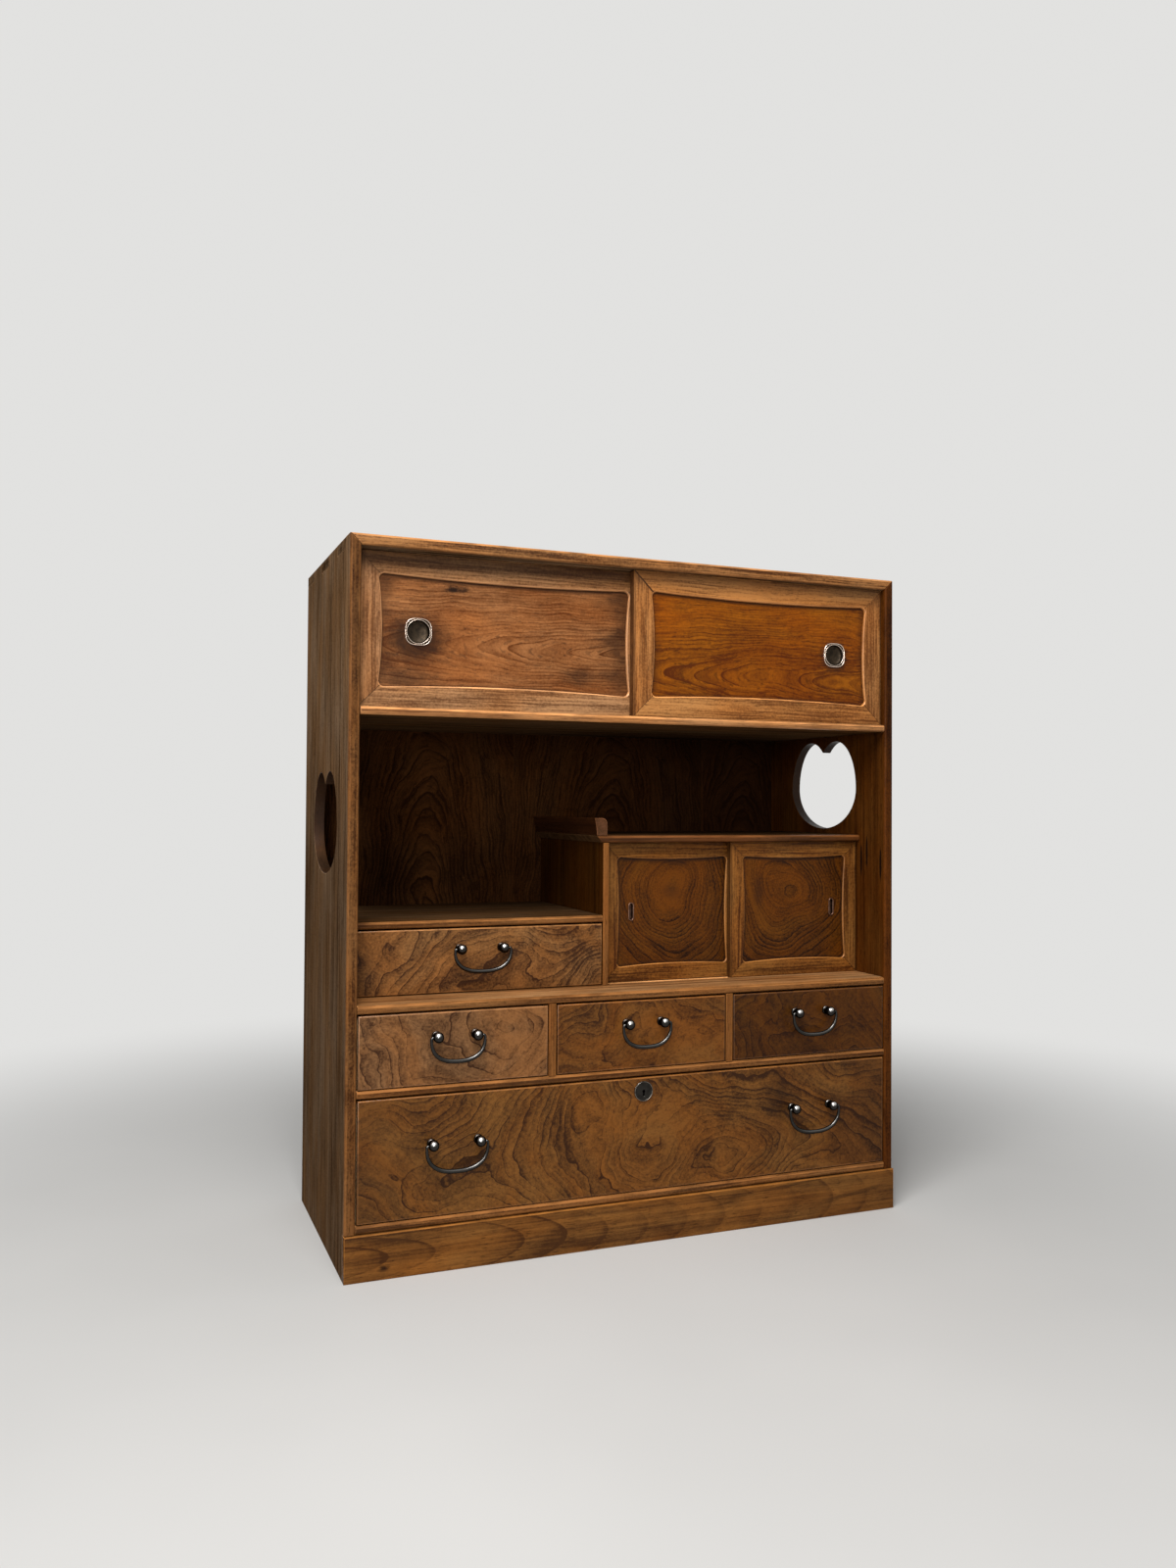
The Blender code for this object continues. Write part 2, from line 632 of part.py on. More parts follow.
def make_case():
    """Everything that stands still."""
    through = [
        (Z_UPPER_SHELF, UPPER_SHELF_T, Y_FRONT), (Z_MID_SHELF, MID_SHELF_T, Y_FRONT),
        (Z_LOWER_SHELF, LOWER_SHELF_T, Y_FRONT), (Z_BOTTOM, BOTTOM_T, Y_FRONT),
    ]
    left_housings = through + [(Z_LEFT_SHELF, LEFT_SHELF_T, Y_SET)]
    right_housings = through + [(Z_CUPBOARD_TOP, CUPBOARD_TOP_T, Y_SET)]
    left_heart = (Z_NICHE_LEFT + Z_UPPER_SHELF) / 2 - HEART_DROP_LEFT
    right_heart = (Z_NICHE_RIGHT + Z_UPPER_SHELF) / 2
    make_side("left_side_panel", -1, left_housings, left_heart)
    make_side("right_side_panel", 1, right_housings, right_heart)
    make_top()
    make_shelves()
    make_small_cupboard()
    for name, hand in (("drawer_divider_left", -1), ("drawer_divider_right", 1)):
        left = small_divider_left_face(hand)
        make_divider(name, left, DRAWER_DIVIDER_T, Y_FRONT, Z_SMALL_BAY, Z_MID_SHELF)

    reach = X_IN + BACK_REBATE - FIT
    low = (-reach, Y_IN_BACK + FIT, Z_BOTTOM)
    back = add_piece("back_panel", box_mesh(low, (reach, Y_BACK, Z_TOP + BACK_REBATE - FIT)), "back_wood")
    for seam in (BACK_SEAM_LEFT, BACK_SEAM_RIGHT):
        x = seam - WIDTH / 2
        low = (x - BACK_SEAM_W / 2, Y_IN_BACK - PAST, Z_BOTTOM - PAST)
        cut(back, box_mesh(low, (x + BACK_SEAM_W / 2, Y_IN_BACK + FIT + BACK_SEAM_W, HEIGHT)))
    low = (-WIDTH / 2, Y_FRONT - PLINTH_PROUD, 0.0)
    mesh = box_mesh(low, (WIDTH / 2, Y_PLINTH_BACK, PLINTH_H))
    round_front(mesh, Y_FRONT - PLINTH_PROUD, "X", FINE_NOSE)
    add_piece("plinth", mesh, "case_wood")


# Sliding doors

def opening_outline(x0, x1, z0, z1, bow, corner):
    """A door frame's opening: rounded corners, and edges that bow inward to their middle."""
    steps = ARC_STEPS // 2
    turns = ARC_STEPS // 4
    outline = []
    corners = ((x0, z0, 1, 1), (x1, z0, -1, 1), (x1, z1, -1, -1), (x0, z1, 1, -1))
    for index, (x, z, to_x, to_z) in enumerate(corners):
        centre = (x + to_x * corner, z + to_z * corner)
        start = 180 + 90 * index
        turn = arc(centre, corner, corner, start, start + 90, turns)
        outline += turn
        x_next, z_next, to_x_next, to_z_next = corners[(index + 1) % 4]
        first = turn[-1]
        along_x = index % 2 == 0
        last = (x_next + to_x_next * corner, z) if along_x else (x, z_next + to_z_next * corner)
        for step in range(1, steps):
            share = step / steps
            inward = bow * (1 - (2 * share - 1) ** 2)
            u = first[0] + (last[0] - first[0]) * share
            v = first[1] + (last[1] - first[1]) * share
            outline.append((u, v + to_z * inward) if along_x else (u + to_x * inward, v))
    return outline


def make_door(name, x0, x1, z0, z1, face, sizes):
    """A framed door with a loose panel, carried by a tongue in the groove below it."""
    joint = add_joint(f"{name}_slide", ((x0 + x1) / 2, face, z0))
    stile = sizes["stile"]
    opening = (x0 + stile, x1 - stile, z0 + stile, z1 - stile)
    outer = [(x0, z0), (x1, z0), (x1, z1), (x0, z1)]
    inner = opening_outline(*opening, sizes["bow"], sizes["corner"])
    mesh = slab_mesh([outer, inner], face, face + sizes["thickness"], "Y", sizes["lip"])
    frame = add_piece(f"{name}_frame", mesh, "frame_wood", joint)

    middle = face + sizes["thickness"] / 2
    half = sizes["tongue"] / 2
    left = x0 + sizes["lip"]
    right = x1 - sizes["lip"]
    foot = z0 - RUN - sizes["track"] + FIT
    head = z1 + sizes["head"]
    join(frame, box_mesh((left, middle - half, foot), (right, middle + half, z0 + TONGUE_ROOT)))
    join(frame, box_mesh((left, middle - half, z1 - TONGUE_ROOT), (right, middle + half, head)))

    seat = sizes["seat"]
    panel_face = face + sizes["recess"]
    panel_low = Vector((opening[0] - seat, panel_face, opening[2] - seat))
    panel_high = Vector((opening[1] + seat, panel_face + sizes["panel"], opening[3] + seat))
    gap = Vector((FIT, FIT, FIT))
    cut(frame, box_mesh(panel_low - gap, panel_high + gap))
    panel = add_piece(f"{name}_panel", box_mesh(panel_low, panel_high), sizes["panel_material"], joint)
    return joint, panel, panel_face


def make_round_pull(name, joint, panel, x, face, z):
    """A turned cup with a squarish rim, let into a door panel."""
    bore = ((x, face - PAST, z), (x, face + DOOR_PANEL_T + PAST, z))
    cut(panel, rod_mesh(*bore, PULL_CUP_R + FIT, CUP_STEPS))
    outer = arc((x, z), PULL_RIM_R, PULL_RIM_R, 0, 360, CUP_STEPS, PULL_SQUARENESS)[:-1]
    hole_r = PULL_CUP_R - PULL_WALL / 2
    hole = arc((x, z), hole_r, hole_r, 0, 360, CUP_STEPS)[:-1]
    mesh = slab_mesh([outer, hole], face - FIT - PULL_RIM_T, face - FIT, "Y", PULL_RIM_ROUND)
    pull = add_piece(name, mesh, "copper", joint)
    lip = FIT + PULL_RIM_T / 2
    inner_r = PULL_CUP_R - PULL_WALL
    inner_depth = PULL_CUP_DEPTH - PULL_WALL
    bowl = arc((0.0, 0.0), inner_r, inner_depth, -90, 0, BOWL_STEPS, PULL_BOWL)
    shell = arc((0.0, 0.0), PULL_CUP_R, PULL_CUP_DEPTH, 0, -90, BOWL_STEPS, PULL_BOWL)
    profile = [(0.0, -inner_depth), *bowl[1:], (inner_r, lip), (PULL_CUP_R, lip), *shell[:-1]]
    profile.append((0.0, -PULL_CUP_DEPTH))
    apply_tool(pull, turned_tool(f"{name}_cup", profile, (x, face, z), CUP_STEPS), "UNION")


def slot_outline(x, z, width, height):
    """An upright slot with round ends."""
    radius = width / 2
    rise = height / 2 - radius
    upper = arc((x, z + rise), radius, radius, 0, 180, ARC_STEPS // 2)
    lower = arc((x, z - rise), radius, radius, 180, 360, ARC_STEPS // 2)
    return upper + lower


def make_slot_pull(name, joint, panel, x, face, z):
    """A narrow cup with a thin rim, let into a small door's panel."""
    hole = slot_outline(x, z, SLOT_W + 2 * FIT, SLOT_H + 2 * FIT)
    cut(panel, slab_mesh([hole], face - PAST, face + SMALL_DOOR_PANEL_T + PAST, "Y"))
    rim_front = face - FIT - SLOT_RIM_T
    body_front = rim_front + SLOT_RIM_T / 2
    body = slab_mesh([slot_outline(x, z, SLOT_W, SLOT_H)], body_front, face + SLOT_DEPTH, "Y")
    pull = add_piece(name, body, "copper", joint)
    rim = slot_outline(x, z, SLOT_W + 2 * SLOT_RIM, SLOT_H + 2 * SLOT_RIM)
    join(pull, slab_mesh([rim], rim_front, face - FIT, "Y"))
    recess = slot_outline(x, z, SLOT_W - 2 * SLOT_WALL, SLOT_H - 2 * SLOT_WALL)
    cut(pull, slab_mesh([recess], rim_front - PAST, face + SLOT_DEPTH - SLOT_WALL, "Y"))


def make_doors():
    """Two pairs of sliding doors. The right door of a pair runs in the front groove."""
    top_sizes = {
        "thickness": DOOR_T, "stile": DOOR_STILE, "bow": DOOR_BOW, "corner": DOOR_CORNER, "lip": DOOR_LIP,
        "recess": DOOR_RECESS, "panel": DOOR_PANEL_T, "seat": DOOR_SEAT, "tongue": TONGUE_T,
        "track": TRACK_DEPTH, "head": HEAD_DEPTH, "panel_material": "panel_wood",
    }
    small_sizes = {
        "thickness": SMALL_DOOR_T, "stile": SMALL_DOOR_STILE, "bow": SMALL_DOOR_BOW,
        "corner": SMALL_DOOR_CORNER, "lip": SMALL_DOOR_LIP, "recess": SMALL_DOOR_RECESS,
        "panel": SMALL_DOOR_PANEL_T, "seat": SMALL_DOOR_SEAT, "tongue": SMALL_TONGUE_T,
        "track": SMALL_TRACK_DEPTH, "head": SMALL_HEAD_DEPTH, "panel_material": "burl_wood",
    }
    pairs = (
        ("top", -X_IN, X_IN, Z_TOP_BAY, Z_TOP, Y_FRONT + DOOR_FACE, DOOR_SPACE, top_sizes),
        ("small", X_CUPBOARD, X_IN, Z_UPPER_BAY, Z_CUPBOARD_TOP, Y_SET + SMALL_DOOR_FACE,
         SMALL_DOOR_SPACE, small_sizes),
    )
    for pair, x0, x1, z0, z1, front_face, space, sizes in pairs:
        width = (x1 - x0 + sizes["stile"]) / 2 - RUN
        back_face = front_face + sizes["thickness"] + space
        for hand, left, face in ((-1, x0 + RUN, back_face), (1, x1 - RUN - width, front_face)):
            name = f"{pair}_{'left' if hand < 0 else 'right'}_door"
            place = (left, left + width, z0 + RUN, z1 - RUN)
            joint, panel, panel_face = make_door(name, *place, face, sizes)
            inset = PULL_INSET if pair == "top" else SLOT_INSET
            x = left + inset if hand < 0 else left + width - inset
            z = (z0 + z1) / 2
            make_pull = make_round_pull if pair == "top" else make_slot_pull
            make_pull(f"{name}_pull", joint, panel, x, panel_face, z)


# Drawers

def make_post(posts, name, x, y, z, outward):
    """A ball-headed post for a drawer front, bored from its outer side for the bail's pin."""
    neck = math.degrees(math.asin(POST_R / BALL_R))
    ball = arc((0.0, POST_STAND), BALL_R, BALL_R, 90, neck - 90, ARC_STEPS // 2)
    neck_end = POST_FOOT_T + POST_FLARE
    profile = [
        (0.0, POST_STAND + BALL_R), *ball[1:], (POST_R, neck_end),
        (POST_FOOT_R, POST_FOOT_T), (POST_FOOT_R, -POST_ROOT), (0.0, -POST_ROOT),
    ]
    post = turned_tool(name, profile, (x, y, z), TURN_STEPS)
    floor = x + outward * (BALL_R - PIN_IN - BORE_PLAY)
    mouth = x + outward * (BALL_R + PAST)
    axis_y = y - POST_STAND
    cut(post, rod_mesh((floor, axis_y, z), (mouth, axis_y, z), PIN_R + BORE_PLAY, TURN_STEPS))
    keep_tool(post, posts)


def bail_path(spacing, drop):
    """Centre line of a bail with the thickness at each point: pin, curl, bow, curl, pin."""
    half = spacing / 2
    mouth = half + BALL_R + FIT
    pin = [(half + BALL_R - PIN_IN, 0.0, PIN_R), (mouth, 0.0, PIN_R)]
    turns = ARC_STEPS // 4
    curl = arc((mouth, -BAIL_CURL), BAIL_CURL, BAIL_CURL, 90, 0, turns)[1:]
    right = pin + [(x, z, BAIL_TIP_R) for x, z in curl]
    depth = drop - BAIL_R - BAIL_CURL
    sweep = arc((0.0, -BAIL_CURL), mouth + BAIL_CURL, depth, 0, -180, 2 * ARC_STEPS, BAIL_SQUARENESS)
    bow = []
    for step, (x, z) in enumerate(sweep[1:-1], start=1):
        swell = math.sin(math.pi * step / (len(sweep) - 1)) ** BAIL_SWELL
        bow.append((x, z, BAIL_TIP_R + (BAIL_R - BAIL_TIP_R) * swell))
    left = [(-x, z, radius) for x, z, radius in reversed(right)]
    return right + bow + left


def make_bail(name, drawer, x, y, z, spacing, drop):
    """A bail that hangs from its two pins, as a tapering rod."""
    path = bail_path(spacing, drop)
    curve = bpy.data.curves.new(name, "CURVE")
    curve.dimensions = "3D"
    curve.bevel_depth = BAIL_R
    curve.bevel_resolution = 1
    curve.use_fill_caps = True
    spline = curve.splines.new("POLY")
    spline.points.add(len(path) - 1)
    for point, (u, v, radius) in zip(spline.points, path):
        point.co = (u, 0.0, v, 1.0)
        point.radius = radius / BAIL_R
    curve.materials.append(MATERIALS["black_bronze"])
    bail = bpy.data.objects.new(name, curve)
    PARTS.objects.link(bail)
    bail.parent = drawer
    bail.location = Vector((x, y, z)) - drawer.location


def make_drawer(name, x0, x1, z0, z1, face, handles, spacing, drop):
    """A drawer for a bay, with its front, sides, back, bottom and bails."""
    left = x0 + DRAWER_SIDE_GAP
    right = x1 - DRAWER_SIDE_GAP
    foot = z0 + FIT
    head = z1 - DRAWER_TOP_GAP
    side_head = head - DRAWER_SIDE_DROP
    end = Y_IN_BACK - DRAWER_BACK_GAP
    inside = face + DRAWER_FRONT_T
    floor = foot + DRAWER_BOTTOM_RAISE
    floor_top = floor + DRAWER_BOTTOM_T
    slide = add_joint(f"{name}_slide", ((x0 + x1) / 2, face, (z0 + z1) / 2))

    mesh = box_mesh((left, face, z0 + DRAWER_LIFT), (right, inside, head))
    round_front(mesh, face, "XZ", DRAWER_ROUND)
    front = add_piece(f"{name}_front", mesh, "burl_wood", slide)
    lap = face + DRAWER_LIP
    for near, far in ((left - PAST, left + DRAWER_SIDE_T + FIT), (right - DRAWER_SIDE_T - FIT, right + PAST)):
        cut(front, box_mesh((near, lap, z0), (far, inside + PAST, z1)))
    panel_left = left + DRAWER_SIDE_T - DRAWER_GROOVE + FIT
    panel_right = right - DRAWER_SIDE_T + DRAWER_GROOVE - FIT
    low = (panel_left - FIT, inside - DRAWER_GROOVE, floor - FIT)
    cut(front, box_mesh(low, (panel_right + FIT, inside + PAST, floor_top + FIT)))

    back_low = end - DRAWER_BACK_INSET - DRAWER_BACK_T
    back_high = end - DRAWER_BACK_INSET
    for side_name, near, far, inner in (
        ("left_side", left, left + DRAWER_SIDE_T, 1), ("right_side", right - DRAWER_SIDE_T, right, -1),
    ):
        mesh = box_mesh((near, lap + FIT, foot), (far, end, side_head))
        side = add_piece(f"{name}_{side_name}", mesh, "drawer_wood", slide)
        inner_face = far if inner > 0 else near
        span = sorted((inner_face - inner * DRAWER_GROOVE, inner_face + inner * PAST))
        cut(side, box_mesh((span[0], face, floor - FIT), (span[1], end + PAST, floor_top + FIT)))
        low = (span[0], back_low - FIT, floor_top)
        cut(side, box_mesh(low, (span[1], back_high + FIT, side_head + PAST)))

    low = (panel_left, back_low, floor_top + FIT)
    mesh = box_mesh(low, (panel_right, back_high, side_head - DRAWER_BACK_DROP))
    add_piece(f"{name}_back", mesh, "drawer_wood", slide)
    low = (panel_left, inside - DRAWER_GROOVE + FIT, floor)
    add_piece(f"{name}_bottom", box_mesh(low, (panel_right, end, floor_top)), "drawer_wood", slide)

    axis_y = face - POST_STAND
    axis_z = (z0 + DRAWER_LIFT + head) / 2 + BAIL_RISE
    posts = bpy.data.collections.new(f"{name}_posts")
    CUTTERS.children.link(posts)
    for bail_name, x in handles:
        for outward, hand in ((-1, "left"), (1, "right")):
            post_x = x + outward * spacing / 2
            make_post(posts, f"{bail_name}_{hand}_post", post_x, face, axis_z, outward)
        make_bail(bail_name, slide, x, axis_y, axis_z, spacing, drop)
    union = front.modifiers.new("posts", "BOOLEAN")
    union.operation = "UNION"
    union.operand_type = "COLLECTION"
    union.collection = posts
    return slide, front


def bolt_rest_top():
    """Height of the withdrawn bolt's upper edge."""
    return Z_LOWER_SHELF - DRAWER_TOP_GAP - RUN


def bolt_front():
    """Front face of the bolt, in the middle of the lock case."""
    return Y_FRONT + DRAWER_INSET + DRAWER_FRONT_T + FIT + (LOCK_CASE_T - BOLT_T) / 2


def make_lock(slide, front):
    """Round lock face, nozzle and case as one body, with the bolt in a channel open at its top."""
    face = Y_FRONT + DRAWER_INSET
    inside = face + DRAWER_FRONT_T
    head = Z_LOWER_SHELF - DRAWER_TOP_GAP
    z = head - LOCK_DOWN
    bore = ((0.0, face - PAST, z), (0.0, inside + PAST, z))
    cut(front, rod_mesh(*bore, LOCK_NOZZLE_R + FIT, CUP_STEPS))

    case_top = bolt_rest_top()
    case_low = (-LOCK_CASE_W / 2, inside + FIT, case_top - LOCK_CASE_H)
    case_high = (LOCK_CASE_W / 2, inside + FIT + LOCK_CASE_T, case_top)
    lock = add_piece("drawer_lock", box_mesh(case_low, case_high), "iron", slide)
    disc_back = face - FIT
    disc_front = disc_back - LOCK_FACE_T
    nozzle_end = inside + FIT + LOCK_NOZZLE_ROOT
    nozzle = ((0.0, disc_back - LOCK_FACE_T / 2, z), (0.0, nozzle_end, z))
    join(lock, rod_mesh(*nozzle, LOCK_NOZZLE_R, CUP_STEPS))
    join(lock, rod_mesh((0.0, disc_front, z), (0.0, disc_back, z), LOCK_FACE_R, CUP_STEPS))
    cut(lock, slab_mesh([keyhole_outline(z)], disc_front - PAST, face + KEYHOLE_DEPTH, "Y"))

    y_bolt = bolt_front()
    foot = case_top - BOLT_H
    low = (-BOLT_W / 2 - RUN, y_bolt - RUN, foot - FIT)
    cut(lock, box_mesh(low, (BOLT_W / 2 + RUN, y_bolt + BOLT_T + RUN, case_top + PAST)))
    throw = add_joint("lock_bolt_slide", (0.0, y_bolt + BOLT_T / 2, foot))
    low = (-BOLT_W / 2, y_bolt, foot)
    add_piece("lock_bolt", box_mesh(low, (BOLT_W / 2, y_bolt + BOLT_T, case_top)), "iron", throw)
    throw.location -= slide.location
    throw.parent = slide


def keyhole_outline(z):
    """A round hole with a slot below it."""
    half = KEYHOLE_SLOT_W / 2
    meet = math.degrees(math.asin(half / KEYHOLE_R))
    ring = arc((0.0, z), KEYHOLE_R, KEYHOLE_R, meet - 90, 270 - meet, ARC_STEPS)
    return ring + [(-half, z - KEYHOLE_SLOT_H), (half, z - KEYHOLE_SLOT_H)]


def make_drawers():
    """One upper drawer, three small ones in a row and the wide bottom drawer with the lock."""
    upper_x = (-X_IN + X_CUPBOARD_WALL) / 2
    make_drawer("upper_drawer", -X_IN, X_CUPBOARD_WALL, Z_UPPER_BAY, Z_LEFT_SHELF, Y_SET + DRAWER_INSET,
                (("upper_bail", upper_x),), UPPER_SPACING, UPPER_DROP)
    for index, name in enumerate(("left", "middle", "right")):
        x = (index - 1) * SMALL_PITCH
        make_drawer(f"{name}_drawer", x - SMALL_BAY_W / 2, x + SMALL_BAY_W / 2, Z_SMALL_BAY, Z_MID_SHELF,
                    Y_FRONT + DRAWER_INSET, ((f"{name}_bail", x),), SMALL_SPACING, SMALL_DROP)
    bails = (("bottom_left_bail", -SMALL_PITCH), ("bottom_right_bail", SMALL_PITCH))
    slide, front = make_drawer("bottom_drawer", -X_IN, X_IN, Z_BOTTOM_BAY, Z_LOWER_SHELF,
                               Y_FRONT + DRAWER_INSET, bails, BOTTOM_SPACING, BOTTOM_DROP)
    make_lock(slide, front)


for old in list(bpy.data.objects):
    bpy.data.objects.remove(old)
PARTS = bpy.data.collections.new("tea_cabinet")
CUTTERS = bpy.data.collections.new("cutters")
for collection in (PARTS, CUTTERS):
    bpy.context.scene.collection.children.link(collection)
MATERIALS = make_materials()
make_case()
make_doors()
make_drawers()
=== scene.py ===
"""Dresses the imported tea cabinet: figured and oiled wood, mitred door frames, turned posts, bails and pulls.

Lengths are metres. The front faces -Y and +Z is up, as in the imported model.
"""

import json
import math

import bmesh
import bpy
from mathutils import Matrix, Vector


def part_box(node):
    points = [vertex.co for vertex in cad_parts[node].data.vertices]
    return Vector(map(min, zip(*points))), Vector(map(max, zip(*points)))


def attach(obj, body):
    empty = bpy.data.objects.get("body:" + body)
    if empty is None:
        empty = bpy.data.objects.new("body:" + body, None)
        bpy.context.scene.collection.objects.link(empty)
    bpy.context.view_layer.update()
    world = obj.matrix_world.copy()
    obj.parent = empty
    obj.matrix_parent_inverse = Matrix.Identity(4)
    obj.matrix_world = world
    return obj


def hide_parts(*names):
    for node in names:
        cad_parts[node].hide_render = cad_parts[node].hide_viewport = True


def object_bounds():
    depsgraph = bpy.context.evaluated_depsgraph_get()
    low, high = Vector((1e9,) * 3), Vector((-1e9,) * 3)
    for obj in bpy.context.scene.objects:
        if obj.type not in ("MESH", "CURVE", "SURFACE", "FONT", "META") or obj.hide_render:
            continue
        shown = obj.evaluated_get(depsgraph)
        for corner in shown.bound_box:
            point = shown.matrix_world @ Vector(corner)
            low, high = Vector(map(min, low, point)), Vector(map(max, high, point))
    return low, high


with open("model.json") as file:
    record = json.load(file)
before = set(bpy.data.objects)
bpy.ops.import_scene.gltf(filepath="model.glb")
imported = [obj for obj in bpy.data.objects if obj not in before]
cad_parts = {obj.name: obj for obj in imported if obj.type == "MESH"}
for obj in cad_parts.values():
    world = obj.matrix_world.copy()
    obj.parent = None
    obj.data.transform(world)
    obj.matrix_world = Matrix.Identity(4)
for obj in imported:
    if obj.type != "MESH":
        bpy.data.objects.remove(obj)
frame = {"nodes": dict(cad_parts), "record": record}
CAD_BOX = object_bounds()

bl_info = {
    "name": "Tea cabinet",
    "version": (1, 0, 0),
    "blender": (4, 5, 0),
    "location": "3D View > Sidebar > Tea cabinet",
    "description": "Dresses the solids of a tea cabinet with figured wood and metal fittings",
    "category": "Object",
}

# Sizes that the solids already have
FIT = 0.0003
HEART_LOBE_X = 0.0345
HEART_LOBE_W = 0.054
HEART_LOBE_H = 0.072
HEART_BOWL_H = 0.061
HEART_CENTRES = {"left_side_panel": (0.00705, 0.5475), "right_side_panel": (0.00705, 0.6060)}
DRAWER_FRONT_T = 0.016
DRAWER_LIP = 0.006
DRAWER_SIDE_T = 0.008
DRAWER_GAP = 0.0007
POST_STAND = 0.0125
BAIL_RISE = 0.015
BAIL_PIN = 0.0014
LOCK_DOWN = 0.0186
LOCK_RADIUS = 0.0130
LOCK_BORE = 0.0088
BACK_SEAMS = (-0.0785, 0.2465)
DOOR_SHAPES = {
    "top": {"stile": 0.027, "bow": 0.004, "corner": 0.007, "recess": 0.004, "panel": 0.006,
            "seat": 0.005, "thickness": 0.014, "tongue": 0.005},
    "small": {"stile": 0.0205, "bow": 0.003, "corner": 0.006, "recess": 0.0025, "panel": 0.005,
              "seat": 0.004, "thickness": 0.0105, "tongue": 0.004},
}
DOORS = {
    "top_left_door": "top", "top_right_door": "top",
    "small_left_door": "small", "small_right_door": "small",
}
DRAWERS = {
    "upper_drawer": ("upper_bail",), "left_drawer": ("left_bail",), "middle_drawer": ("middle_bail",),
    "right_drawer": ("right_bail",), "bottom_drawer": ("bottom_left_bail", "bottom_right_bail"),
}
BAIL_SHAPES = {
    "upper_bail": (0.057, 0.0320), "left_bail": (0.050, 0.0330), "middle_bail": (0.050, 0.0330),
    "right_bail": (0.050, 0.0330), "bottom_left_bail": (0.0595, 0.0360), "bottom_right_bail": (0.0595, 0.0360),
}

# Sizes that only the finish has
HEART_TRIM = 0.0003
FRONT_EDGE = 0.004
PANEL_EASE = 0.0004
BAIL_CURL = 0.0021
POST_FOOT_T = 0.0014
PULL_CUP = 0.0146
PULL_WIRE = 0.0009
PULL_BAND = 0.0013
PULL_PLATE = 0.0003
PULL_SQUARENESS = 2.9
KEYHOLE_R = 0.0021
KEYHOLE_SLOT = 0.0012
KEYHOLE_DROP = 0.0062
TONGUE_INSET = 0.001
TONGUE_SINK = 0.002
CUT_PAST = 0.01
NAIL_SINK = 0.0005
NAIL_PLAY = 0.0002
NAIL_EDGE = 0.006
NAIL_COLUMN_END = 0.03
NAIL_ROW_END = 0.05
NAILS_IN_COLUMN = 9
NAILS_IN_ROW = 8
PEG_IN = 0.005
PEG_LOW = 0.018
PEG_HIGH = 0.014

# Profile of a slot pull's rounded rim, as inset and distance behind its front
SLOT_RIM = ((0.0, 0.0005), (0.0003, 0.00012), (0.0009, 0.0), (0.0014, 0.0002), (0.0018, 0.0007))

# Fineness and tolerances
JOIN = 1e-5
SEAM = 1e-7
FLAT = math.radians(0.6)
SHARP = math.radians(50)
TURN_STEPS = 48
CORNER_STEPS = 6
BOW_STEPS = 24
LIP_STEPS = 6
LIP_ROWS = range(3, 8)
BAIL_STEPS = 64

# Figure that a wood has unless it names another: how its rings grow, and how they show
RINGS = {"taper": 0.06, "spacing": 0.006, "waver": 0.008, "swirl": 0.0, "swirl_size": 10.0, "seed": 0.0}
FIGURE = {"lines": 0.6, "line_start": 0.78, "core": 0.0, "streaks": 1.5, "fibre": 1.1, "mottle": 0.5,
          "fleck": 0.4, "pores": 0.5}
NOUGHT = (0.0, 0.0, 0.0)
PLAIN = (1.0, 1.0, 1.0)
# Colour of dark stains and knots, and of painted shade
STAIN_AND_SHADE_TINT = (0.012, 0.005, 0.003)
GRAIN_AXES = {"X": (1.0, 0.0, 0.0), "Y": (0.0, 1.0, 0.0), "Z": (0.0, 0.0, 1.0)}
# The key light's side, on which the metal fittings get a painted highlight
PAINTED_HIGHLIGHT_SIDE = Vector((-0.25, -0.70, 0.67)).normalized()

# Floor, lights as place, target and size, and camera
FLOOR_RADIUS = 14.0
FLOOR_SIDES = 48
LAMPS = {
    "key": ((-0.75, -1.20, 2.20), (0.0, -0.1, 0.5), 1.2),
    "front": ((-1.10, -2.10, 0.95), (0.0, -0.1, 0.45), 0.5),
}
CAMERA_PLACE = (-0.660, -1.5992, 0.5715)
CAMERA_RIGHT = Vector((0.92833, -0.37169, 0.00632))
CAMERA_UP = Vector((-0.01265, -0.01459, 0.99981))
CAMERA_FORWARD = Vector((0.37153, 0.92824, 0.01825))
PICTURE_HEIGHT = 36.0


# Settings

def number(name, description, default, least=0.0, **kind):
    return bpy.props.FloatProperty(name=name, description=description, default=default, min=least, **kind)


def length(name, description, default):
    return number(name, description, default, subtype="DISTANCE", unit="LENGTH", precision=5)


def colour(name, description, default):
    return bpy.props.FloatVectorProperty(
        name=name, description=description, default=default, min=0.0, max=1.0, size=3, subtype="COLOR")


class TeaCabinetSizes(bpy.types.PropertyGroup):
    """Sizes of the finish and the fittings."""

    edge_ease: length("Eased edge", "Rounding that planing and use leave on the boards' edges", 0.0006)
    shelf_ease: length("Eased shelf edge", "Rounding of the shelves and the plinth", 0.0010)
    front_round: length("Drawer front edge", "Rounding of the drawer fronts", 0.0016)
    lip_round: length("Door lip", "Rounding of the door frames' inner edge", 0.0026)
    mitre_gap: length("Mitre line", "Open line between the mitred members of a door frame", 0.0004)
    ball_radius: length("Post ball", "Radius of the handle posts' balls", 0.0066)
    neck_radius: length("Post neck", "Radius of the handle posts' necks", 0.0047)
    foot_radius: length("Post foot", "Radius of the handle posts' feet", 0.0060)
    bail_thick: length("Bail middle", "Radius of a bail at its lowest point", 0.0028)
    bail_thin: length("Bail end", "Radius of a bail beside its posts", 0.0017)
    pull_radius: length("Round pull", "Half width of a round pull's outer rim", 0.0172)
    nail_radius: length("Nail head", "Radius of the nail heads in the back", 0.0022)
    peg_radius: length("Peg", "Radius of the wooden pegs in the drawer boxes", 0.0016)


